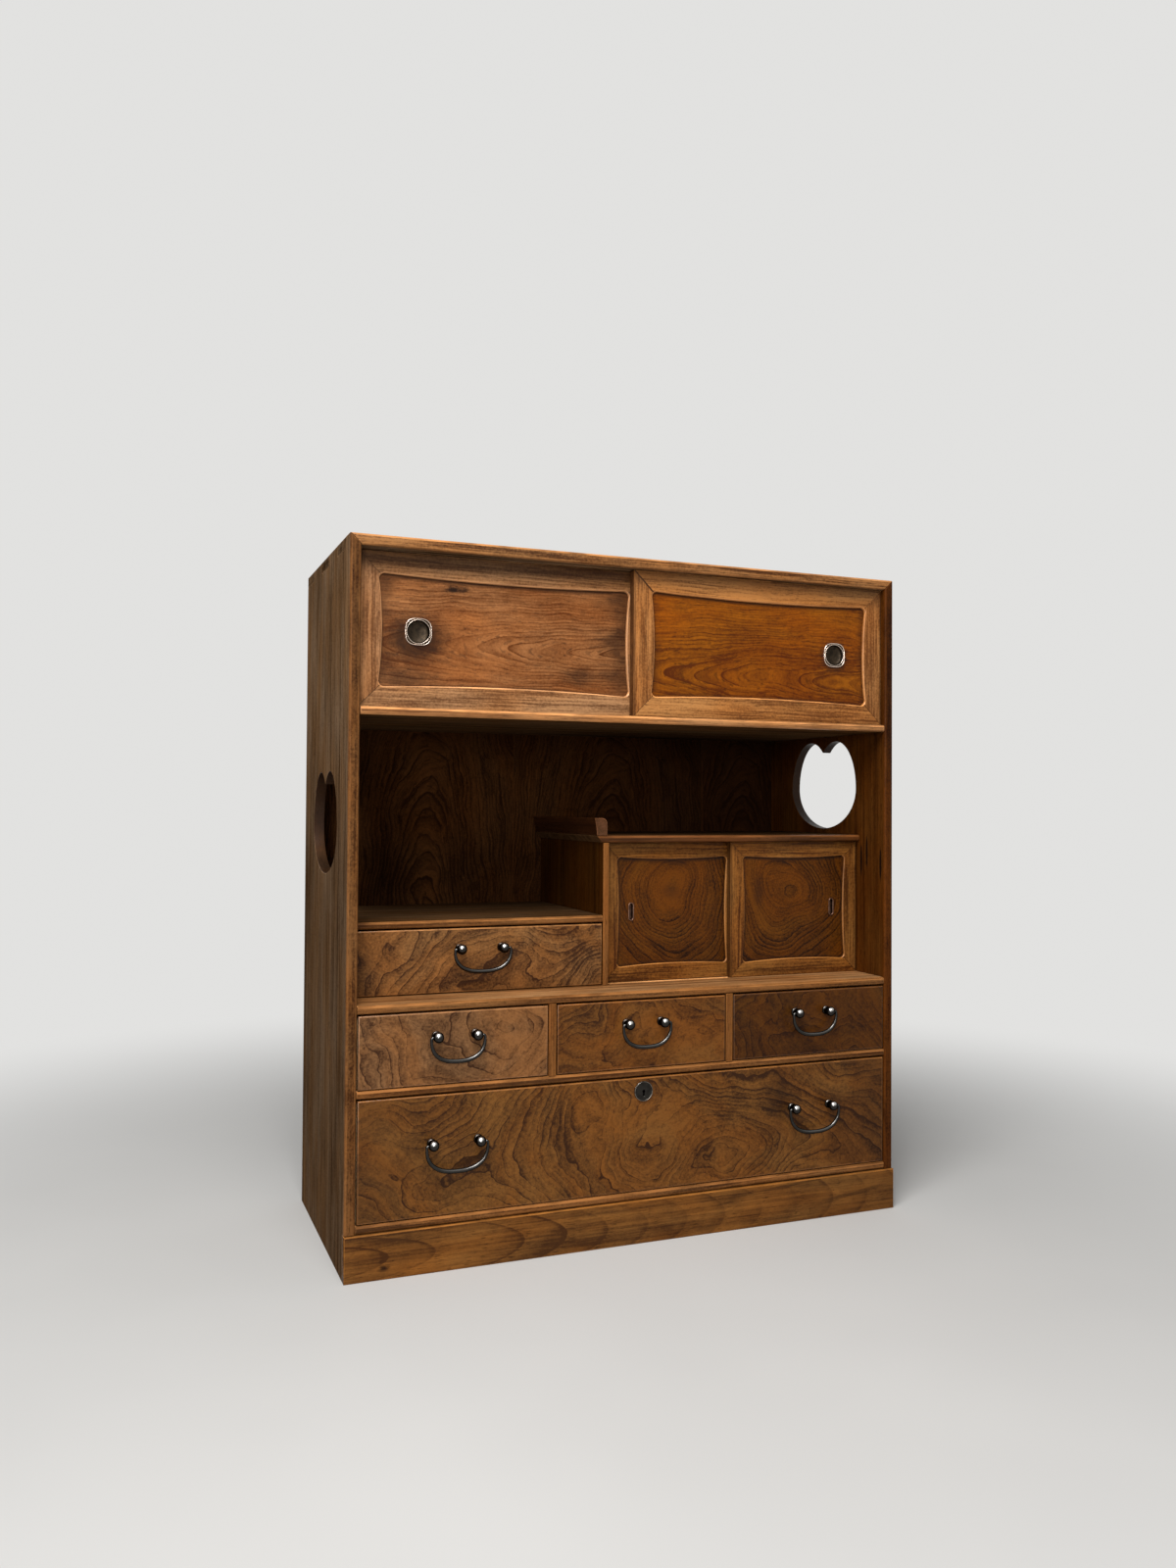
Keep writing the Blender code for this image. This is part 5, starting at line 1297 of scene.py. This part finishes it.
def dress_front(name, sizes):
    """A drawer front: a board lapped over the drawer's sides, with rounded and more polished edges."""
    node = f"{name}_front"
    low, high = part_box(node)
    low = low + Vector((DRAWER_GAP / 2, 0.0, 0.0))
    high = high - Vector((DRAWER_GAP / 2, 0.0, DRAWER_GAP))
    face = high.y - DRAWER_FRONT_T
    lap = face + DRAWER_LIP
    side = DRAWER_SIDE_T + FIT
    plan = [(low.x, face), (high.x, face), (high.x, lap), (high.x - side, lap), (high.x - side, high.y),
            (low.x + side, high.y), (low.x + side, lap), (low.x, lap)]
    bm = bmesh.new()
    prism(bm, plan, low.z, high.z, "Z")
    ease_edges(bm, sizes.front_round, 4, lambda edge: all(abs(vert.co.y - face) < JOIN for vert in edge.verts))
    ease_edges(bm, sizes.edge_ease, 2, lambda edge: all(vert.co.y > lap - JOIN for vert in edge.verts))
    if name == "bottom_drawer":
        bore = bmesh.new()
        z = high.z + DRAWER_GAP - LOCK_DOWN
        through = -2 * DRAWER_FRONT_T
        profile = [(0.0, CUT_PAST), (LOCK_BORE, CUT_PAST), (LOCK_BORE, through), (0.0, through)]
        turned(bore, profile, (0.0, face, z))
        cut_with(bm, bore)
    for each in bm.faces:
        each.material_index = int(-0.99 < each.normal.y < -0.05)
    heart, family, figure = FRONT_LOOKS[name]
    finish = [
        wood(name.replace("_drawer", f"_front_{part}_burl"), "XZ", heart, shades(*family), gloss=gloss,
             **FRONT_FIGURE, **figure)
        for part, gloss in (("face", 0.12), ("edge", 0.40))
    ]
    add_piece(f"finished_{node}", bm, finish, name, "burl_wood", (node,))


class TEACABINET_OT_drawer_fronts(bpy.types.Operator):
    """Build the five burl drawer fronts"""

    bl_idname = "tea_cabinet.drawer_fronts"
    bl_label = "Drawer fronts"

    def execute(self, context):
        for name in DRAWERS:
            dress_front(name, context.scene.tea_cabinet_sizes)
        return {"FINISHED"}


class TEACABINET_OT_drawer_boxes(bpy.types.Operator):
    """Finish the drawers' sides, backs and bottoms in plain pale wood"""

    bl_idname = "tea_cabinet.drawer_boxes"
    bl_label = "Drawer boxes"

    def execute(self, context):
        tones = shades("box")
        side = wood("box_side_wood", "YZ", (0.2, 0.0, 0.0), tones, streaks=1.2, gloss=0.05)
        back = wood("box_back_wood", "XZ", (0.2, 0.0, 0.1), tones, streaks=1.2, gloss=0.05)
        floor = wood("box_floor_wood", "XY", (0.3, 0.02, 0.0), tones, taper=0.08, streaks=1.2, gloss=0.05)
        for name in DRAWERS:
            for part, material in (("left_side", side), ("right_side", side), ("back", back), ("bottom", floor)):
                dress_board(f"{name}_{part}", [material], "drawer_wood", context.scene.tea_cabinet_sizes.edge_ease)
        return {"FINISHED"}


# Handles

def new_tree(name, inputs):
    """A Geometry Nodes tree with a geometry, named inputs and a material."""
    inputs = (("Geometry", "Geometry"), *inputs, ("Material", "Material"))
    return new_group(name, "GeometryNodeTree", inputs, (("Geometry", "Geometry"),))


def end_tree(bench, shape, given, out):
    """End a tree with real, smooth geometry in its material."""
    solid = bench.add("GeometryNodeRealizeInstances", shape.outputs[0])
    smooth = bench.add("GeometryNodeSetShadeSmooth", solid.outputs[0])
    finish = bench.add("GeometryNodeSetMaterial", smooth.outputs[0], None, given["Material"])
    bench.put(out[0], finish.outputs[0])


def grow(piece, tree, values):
    """Run a Geometry Nodes tree on a piece and keep its result as a plain mesh."""
    modifier = piece.modifiers.new(tree.name, "NODES")
    modifier.node_group = tree
    for item in tree.interface.items_tree:
        if item.in_out == "INPUT" and item.name in values:
            modifier[item.identifier] = values[item.name]
    return settle(piece)


def points_piece(name, points):
    """An object that holds only points, for a tree that sets something on each."""
    mesh = bpy.data.meshes.new(name)
    mesh.from_pydata(points, [], [])
    return new_object(name, mesh)


def unit_ring(bench, steps):
    """A circle of radius 1, to sweep along a curve."""
    ring = bench.add("GeometryNodeCurvePrimitiveCircle", steps)
    ring.inputs["Radius"].default_value = 1.0
    return ring.outputs[0]


def post_tree():
    """Turned posts on points: a foot, a flared neck and a ball, along -Y."""
    labels = ("Stand", "Ball radius", "Neck radius", "Foot radius", "Foot thickness")
    tree, bench, given, out = new_tree("turned_posts", [(label, "Float") for label in labels])
    stand, ball, neck, foot, thickness = (given[label] for label in labels)
    rod = bench.add("GeometryNodeResampleCurve", bench.add("GeometryNodeCurvePrimitiveLine").outputs[0])
    rod.inputs["Count"].default_value = 44
    share = bench.add("GeometryNodeSplineParameter").outputs["Factor"]
    far = bench.math("SINE", bench.math("MULTIPLY", share, math.pi / 2))
    far = bench.math("MULTIPLY", far, bench.math("ADD", stand, ball))
    axis = bench.add("GeometryNodeSetPosition", rod.outputs[0])
    bench.put(axis.inputs["Position"], bench.join(0.0, bench.math("MULTIPLY", far, -1.0), 0.0))
    height = bench.math("MULTIPLY", bench.split(bench.add("GeometryNodeInputPosition").outputs[0])[1], -1.0)
    offset = bench.math("SUBTRACT", height, stand)
    square = bench.math("SUBTRACT", bench.math("MULTIPLY", ball, ball), bench.math("MULTIPLY", offset, offset))
    round_head = bench.math("SQRT", bench.math("MAXIMUM", square, 0.0))
    flare_start, flare_end = bench.math("MULTIPLY", thickness, 0.7), bench.math("MULTIPLY", thickness, 2.6)
    flare = bench.ramp(height, flare_start, flare_end, 1.0, 0.0)
    shank = bench.math("MULTIPLY_ADD", flare, bench.math("SUBTRACT", foot, neck), neck)
    shank = bench.math("MULTIPLY", shank, bench.math("LESS_THAN", height, stand))
    radius = bench.math("MAXIMUM", round_head, shank)
    shaped = bench.add("GeometryNodeCurveToMesh", axis.outputs[0], unit_ring(bench, 28), radius, True)
    post = bench.add("GeometryNodeMergeByDistance", shaped.outputs[0])
    post.inputs["Distance"].default_value = 1e-6
    posts = bench.add("GeometryNodeInstanceOnPoints", given["Geometry"], None, post.outputs[0])
    end_tree(bench, posts, given, out)
    return tree


def bail_tree():
    """A round rod swept along a path, as thick as the path says at each point."""
    tree, bench, given, out = new_tree("bail_sweep", [("Steps", "Int")])
    thickness = bench.add("GeometryNodeInputRadius").outputs[0]
    ring = unit_ring(bench, given["Steps"])
    rod = bench.add("GeometryNodeCurveToMesh", given["Geometry"], ring, thickness, True)
    end_tree(bench, rod, given, out)
    return tree


def head_tree(name):
    """Low domed heads on points, flattened along one axis."""
    tree, bench, given, out = new_tree(name, [("Radius", "Float"), ("Flat", "Vector")])
    dome = bench.add("GeometryNodeMeshUVSphere", 12, 6, given["Radius"])
    heads = bench.add("GeometryNodeInstanceOnPoints", given["Geometry"], None, dome.outputs[0])
    bench.put(heads.inputs["Scale"], given["Flat"])
    end_tree(bench, heads, given, out)
    return tree


def bail_path(spacing, drop, sizes):
    """Centre line of a bail with its radius: pin, curl, bow, curl, pin."""
    thin = sizes.bail_thin
    mouth = spacing / 2 + sizes.ball_radius + FIT
    right = [(mouth - 0.0039, 0.0, BAIL_PIN), (mouth - 0.0006, 0.0, BAIL_PIN), (mouth, 0.0, thin)]
    right += [(x, z, thin) for x, z in arc((mouth, -BAIL_CURL), BAIL_CURL, BAIL_CURL, 90, 0, 10)[1:]]
    depth = drop - sizes.bail_thick - BAIL_CURL
    sweep = arc((0.0, -BAIL_CURL), mouth + BAIL_CURL, depth, 0, -180, BAIL_STEPS, 2.5)
    bow = []
    for step, (x, z) in enumerate(sweep[1:-1], start=1):
        swell = math.sin(math.pi * step / BAIL_STEPS) ** 0.8
        bow.append((x, z, thin + (sizes.bail_thick - thin) * swell))
    return right + bow + [(-x, z, radius) for x, z, radius in reversed(right)]


def handle_axis(name, bail):
    """Middle of a bail's hinge line."""
    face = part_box(f"{name}_front")[1].y - DRAWER_FRONT_T
    return Vector((middle_of(bail).x, face - POST_STAND, middle_of(f"{name}_front").z + BAIL_RISE))


class TEACABINET_OT_posts(bpy.types.Operator):
    """Turn the ball-headed posts of the handles"""

    bl_idname = "tea_cabinet.posts"
    bl_label = "Handle posts"

    def execute(self, context):
        sizes = context.scene.tea_cabinet_sizes
        # The last tint is the painted highlight on the side that faces the key light.
        bronze = metal("black_bronze_fittings", context.scene.tea_cabinet_colours.bronze, 0.20,
                       (0.020, 0.018, 0.016), 0.4, 0.10, (0.62, 0.60, 0.57))
        tree = post_tree()
        for name, bails in DRAWERS.items():
            points = []
            for bail in bails:
                axis = handle_axis(name, bail)
                half = BAIL_SHAPES[bail][0] / 2
                points += [(axis.x + hand * half, axis.y + POST_STAND, axis.z) for hand in (-1, 1)]
            piece = grow(points_piece(f"{name}_posts", points), tree, {
                "Stand": POST_STAND, "Ball radius": sizes.ball_radius, "Neck radius": sizes.neck_radius,
                "Foot radius": sizes.foot_radius, "Foot thickness": POST_FOOT_T, "Material": bronze,
            })
            # Painted highlight on the posts' balls, on the side that faces the key light.
            paint_highlight(piece, 1.0)
            place_piece(piece, name, "black_bronze")
        return {"FINISHED"}


class TEACABINET_OT_bails(bpy.types.Operator):
    """Sweep the six tapering bails"""

    bl_idname = "tea_cabinet.bails"
    bl_label = "Bails"

    def execute(self, context):
        bronze = bpy.data.materials["black_bronze_fittings"]
        tree = bail_tree()
        for name, bail in ((name, bail) for name, bails in DRAWERS.items() for bail in bails):
            axis = handle_axis(name, bail)
            path = bail_path(*BAIL_SHAPES[bail], context.scene.tea_cabinet_sizes)
            curve = bpy.data.curves.new(f"{bail}_path", "CURVE")
            curve.dimensions = "3D"
            spline = curve.splines.new("POLY")
            spline.points.add(len(path) - 1)
            for point, (x, z, radius) in zip(spline.points, path):
                point.co = (axis.x + x, axis.y, axis.z + z, 1.0)
                point.radius = radius
            piece = grow(new_object(f"finished_{bail}", curve), tree, {"Steps": 20, "Material": bronze})
            # A faint painted highlight on the bails, on the side that faces the key light.
            paint_highlight(piece, 0.16)
            place_piece(piece, bail, "black_bronze", (bail,))
        return {"FINISHED"}


# Lock, nails and pegs

def lock_face(face, z, stand):
    """The turned disc of the lock with its keyhole: slot 1 for the face, 2 for the rim, 3 for the hole."""
    rim = 0.0005
    dome = arc((LOCK_RADIUS - rim, stand - 0.0008), rim, 0.0008, 0, 180, 8)
    disc = bmesh.new()
    turned(disc, [(0.0, -0.0008), (LOCK_RADIUS - 0.0004, -0.0008), (LOCK_RADIUS, -0.0002), *dome,
                  (LOCK_RADIUS - 0.0020, stand - 0.0010), (0.0085, stand - 0.0006), (0.0050, stand - 0.0005),
                  (0.0, stand - 0.0005)], (0.0, face, z), 64)
    for each in disc.faces:
        middle = each.calc_center_median()
        each.material_index = 2 if math.hypot(middle.x, middle.z - z) > LOCK_RADIUS - 2 * rim else 1
    meet = math.degrees(math.asin(KEYHOLE_SLOT / KEYHOLE_R))
    outline = arc((0.0, z), KEYHOLE_R, KEYHOLE_R, meet - 90, 270 - meet, 20)
    outline += [(-KEYHOLE_SLOT, z - KEYHOLE_DROP), (KEYHOLE_SLOT, z - KEYHOLE_DROP)]
    key = bmesh.new()
    prism(key, outline, face - CUT_PAST, face + 0.0006, "Y")
    cut_with(disc, key)
    for each in disc.faces:
        each.material_index = each.material_index or 3
    return disc


class TEACABINET_OT_lock(bpy.types.Operator):
    """Build the round lock face with its keyhole, and finish the lock case and bolt"""

    bl_idname = "tea_cabinet.lock"
    bl_label = "Drawer lock"

    def execute(self, context):
        iron = metal("lock_iron", context.scene.tea_cabinet_colours.iron, 0.45, (0.060, 0.040, 0.028), 0.6)
        materials = [
            iron,
            metal("lock_face_bronze", (0.036, 0.033, 0.029), 0.30, (0.016, 0.014, 0.012), 0.7, 0.1),
            metal("lock_rim_worn", (0.26, 0.23, 0.20), 0.26, (0.03, 0.027, 0.024), 0.8, 0.2),
            # Painted shade: near-black metal lines the shallow keyhole, where a deep hole would be in shade.
            metal("keyhole_soot", (0.004, 0.003, 0.003), 0.6, (0.002, 0.002, 0.002), 0.5, 0.0),
        ]
        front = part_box("bottom_drawer_front")[1]
        face = front.y - DRAWER_FRONT_T
        bm = solid_copy("drawer_lock")
        cut = bmesh.ops.bisect_plane(bm, geom=bm.verts[:] + bm.edges[:] + bm.faces[:], clear_outer=True,
                                     plane_co=(0.0, face + 0.001, 0.0), plane_no=(0.0, -1.0, 0.0))
        bmesh.ops.holes_fill(bm, edges=[each for each in cut["geom_cut"] if isinstance(each, bmesh.types.BMEdge)])
        ease_edges(bm, PANEL_EASE)
        disc = mesh_from("lock_face", lock_face(face, front.z - LOCK_DOWN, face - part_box("drawer_lock")[0].y))
        bm.from_mesh(disc)
        bpy.data.meshes.remove(disc)
        add_piece("finished_drawer_lock", bm, materials, "bottom_drawer", "iron", ("drawer_lock",))
        dress_board("lock_bolt", [iron], "iron", context.scene.tea_cabinet_sizes.edge_ease)
        return {"FINISHED"}


class TEACABINET_OT_nails(bpy.types.Operator):
    """Set the nails that hold the back, and the pegs in the drawer boxes"""

    bl_idname = "tea_cabinet.nails"
    bl_label = "Nails and pegs"

    def execute(self, context):
        sizes = context.scene.tea_cabinet_sizes
        points = [(x, y - NAIL_SINK, z) for x, y, z in nail_points()]
        nails = grow(points_piece("back_nails", points), head_tree("nail_heads"), {
            "Radius": sizes.nail_radius, "Flat": (1.0, 0.14, 1.0), "Material": bpy.data.materials["lock_iron"],
        })
        place_piece(nails, "case", "iron")

        brown = context.scene.tea_cabinet_colours.box_dark
        tones = scaled(brown, (0.9, 0.85, 0.8)), scaled(brown, (0.5, 0.45, 0.4))
        peg_wood = wood("peg_wood", "XZ", NOUGHT, tones, spacing=0.0007, waver=0.001)
        tree = head_tree("peg_heads")
        for name in DRAWERS:
            count = 4 if name == "bottom_drawer" else 2
            points = []
            for outer, side in enumerate(("left_side", "right_side")):
                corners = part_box(f"{name}_{side}")
                heights = spread(corners[0].z + PEG_LOW, corners[1].z - PEG_HIGH, count)
                for y in (corners[0].y + PEG_IN, middle_of(f"{name}_back").y):
                    points += [(corners[outer].x, y, z) for z in heights]
            pegs = grow(points_piece(f"{name}_pegs", points), tree, {
                "Radius": sizes.peg_radius, "Flat": (0.12, 1.0, 1.0), "Material": peg_wood,
            })
            place_piece(pegs, name, "drawer_wood")
        return {"FINISHED"}


# Stage

def seen_rays(bench):
    """1 for rays that show the backdrop, 0 for rays that carry light."""
    rays = bench.add("ShaderNodeLightPath").outputs
    mirrored = bench.math("MAXIMUM", rays["Is Glossy Ray"], rays["Is Transmission Ray"])
    return bench.math("MAXIMUM", rays["Is Camera Ray"], mirrored)


def floor_material(stage):
    """Plain pale floor that keeps the shadow and fades into the backdrop far away."""
    material, bench, shader = new_material("stage_floor")
    place = bench.add("ShaderNodeTexCoord").outputs["Object"]
    tone = bench.ramp(bench.noise(place, (1.6, 1.6, 1.6), 3.0), 0.3, 0.7, 0.97, 1.03)
    bench.put(shader.inputs["Base Color"], bench.scale(tuple(stage.floor), tone))
    shader.inputs["Roughness"].default_value = 0.85
    shader.inputs["Specular IOR Level"].default_value = 0.1
    share = bench.math("MULTIPLY", bench.ramp(bench.far(place), 0.5, 1.8), seen_rays(bench))
    glow = bench.add("ShaderNodeEmission", rgba(stage.backdrop), 1.0)
    blend = bench.add("ShaderNodeMixShader", share, shader.outputs[0], glow.outputs[0])
    bench.put(material.node_tree.nodes["Material Output"].inputs["Surface"], blend.outputs[0])
    return material


def add_lamp(name, place, target, size, power):
    """A square soft light that faces a target."""
    lamp = bpy.data.lights.new(name, "AREA")
    lamp.shape = "SQUARE"
    lamp.size = size
    lamp.energy = power
    stand = new_object(name, lamp)
    stand.location = place
    stand.rotation_euler = (Vector(target) - Vector(place)).to_track_quat("-Z", "Y").to_euler()


class TEACABINET_OT_stage(bpy.types.Operator):
    """Set up the floor, the soft studio light and the camera"""

    bl_idname = "tea_cabinet.stage"
    bl_label = "Stage"

    def execute(self, context):
        scene = context.scene
        stage = scene.tea_cabinet_stage
        scene.view_settings.view_transform = "Standard"

        mesh = bpy.data.meshes.new("stage_floor")
        angles = [math.tau * step / FLOOR_SIDES for step in range(FLOOR_SIDES)]
        rim = [(FLOOR_RADIUS * math.cos(angle), FLOOR_RADIUS * math.sin(angle), 0.0) for angle in angles]
        mesh.from_pydata(rim, [], [tuple(range(FLOOR_SIDES))])
        mesh.materials.append(floor_material(stage))
        new_object("stage_floor", mesh)

        world = bpy.data.worlds.new("studio")
        scene.world = world
        world.use_nodes = True
        world.node_tree.nodes.clear()
        bench = Bench(world.node_tree)
        shown = bench.add("ShaderNodeBackground", rgba(stage.backdrop), 1.0)
        fill = bench.add("ShaderNodeBackground", rgba(PLAIN), stage.fill)
        blend = bench.add("ShaderNodeMixShader", seen_rays(bench), fill.outputs[0], shown.outputs[0])
        bench.add("ShaderNodeOutputWorld", blend.outputs[0])
        for name, lie in LAMPS.items():
            add_lamp(f"{name}_light", *lie, getattr(stage, f"{name}_power"))

        camera = bpy.data.cameras.new("photo_camera")
        camera.sensor_fit = "VERTICAL"
        camera.sensor_height = PICTURE_HEIGHT
        camera.lens = stage.lens
        camera.clip_end = 60.0
        eye = new_object("photo_camera", camera)
        eye.matrix_world = Matrix((CAMERA_RIGHT, CAMERA_UP, -CAMERA_FORWARD)).transposed().to_4x4()
        eye.location = CAMERA_PLACE
        scene.camera = eye
        return {"FINISHED"}


class TEACABINET_PT_panel(bpy.types.Panel):
    """Lists the sizes, the colours and the steps"""

    bl_idname = "TEACABINET_PT_panel"
    bl_label = "Tea cabinet"
    bl_space_type = "VIEW_3D"
    bl_region_type = "UI"
    bl_category = "Tea cabinet"

    def draw(self, context):
        for setting in SETTINGS:
            group = getattr(context.scene, setting)
            column = self.layout.column(align=True)
            for name in group.__annotations__:
                column.prop(group, name)
        for step in STEPS:
            self.layout.operator(step.bl_idname)


STEPS = (
    TEACABINET_OT_stage, TEACABINET_OT_case, TEACABINET_OT_shelves, TEACABINET_OT_door_frames,
    TEACABINET_OT_door_panels, TEACABINET_OT_round_pulls, TEACABINET_OT_slot_pulls, TEACABINET_OT_drawer_fronts,
    TEACABINET_OT_drawer_boxes, TEACABINET_OT_posts, TEACABINET_OT_bails, TEACABINET_OT_lock, TEACABINET_OT_nails,
)
SETTINGS = {
    "tea_cabinet_sizes": TeaCabinetSizes,
    "tea_cabinet_colours": TeaCabinetColours,
    "tea_cabinet_stage": TeaCabinetStage,
}


def register():
    for each in (*SETTINGS.values(), *STEPS, TEACABINET_PT_panel):
        bpy.utils.register_class(each)
    for name, group in SETTINGS.items():
        setattr(bpy.types.Scene, name, bpy.props.PointerProperty(type=group))


def unregister():
    for name in SETTINGS:
        delattr(bpy.types.Scene, name)
    for each in (TEACABINET_PT_panel, *reversed(STEPS), *reversed(SETTINGS.values())):
        bpy.utils.unregister_class(each)


def main():
    register()
    for step in STEPS:
        area, name = step.bl_idname.split(".")
        getattr(getattr(bpy.ops, area), name)()


if __name__ == "__main__":
    main()
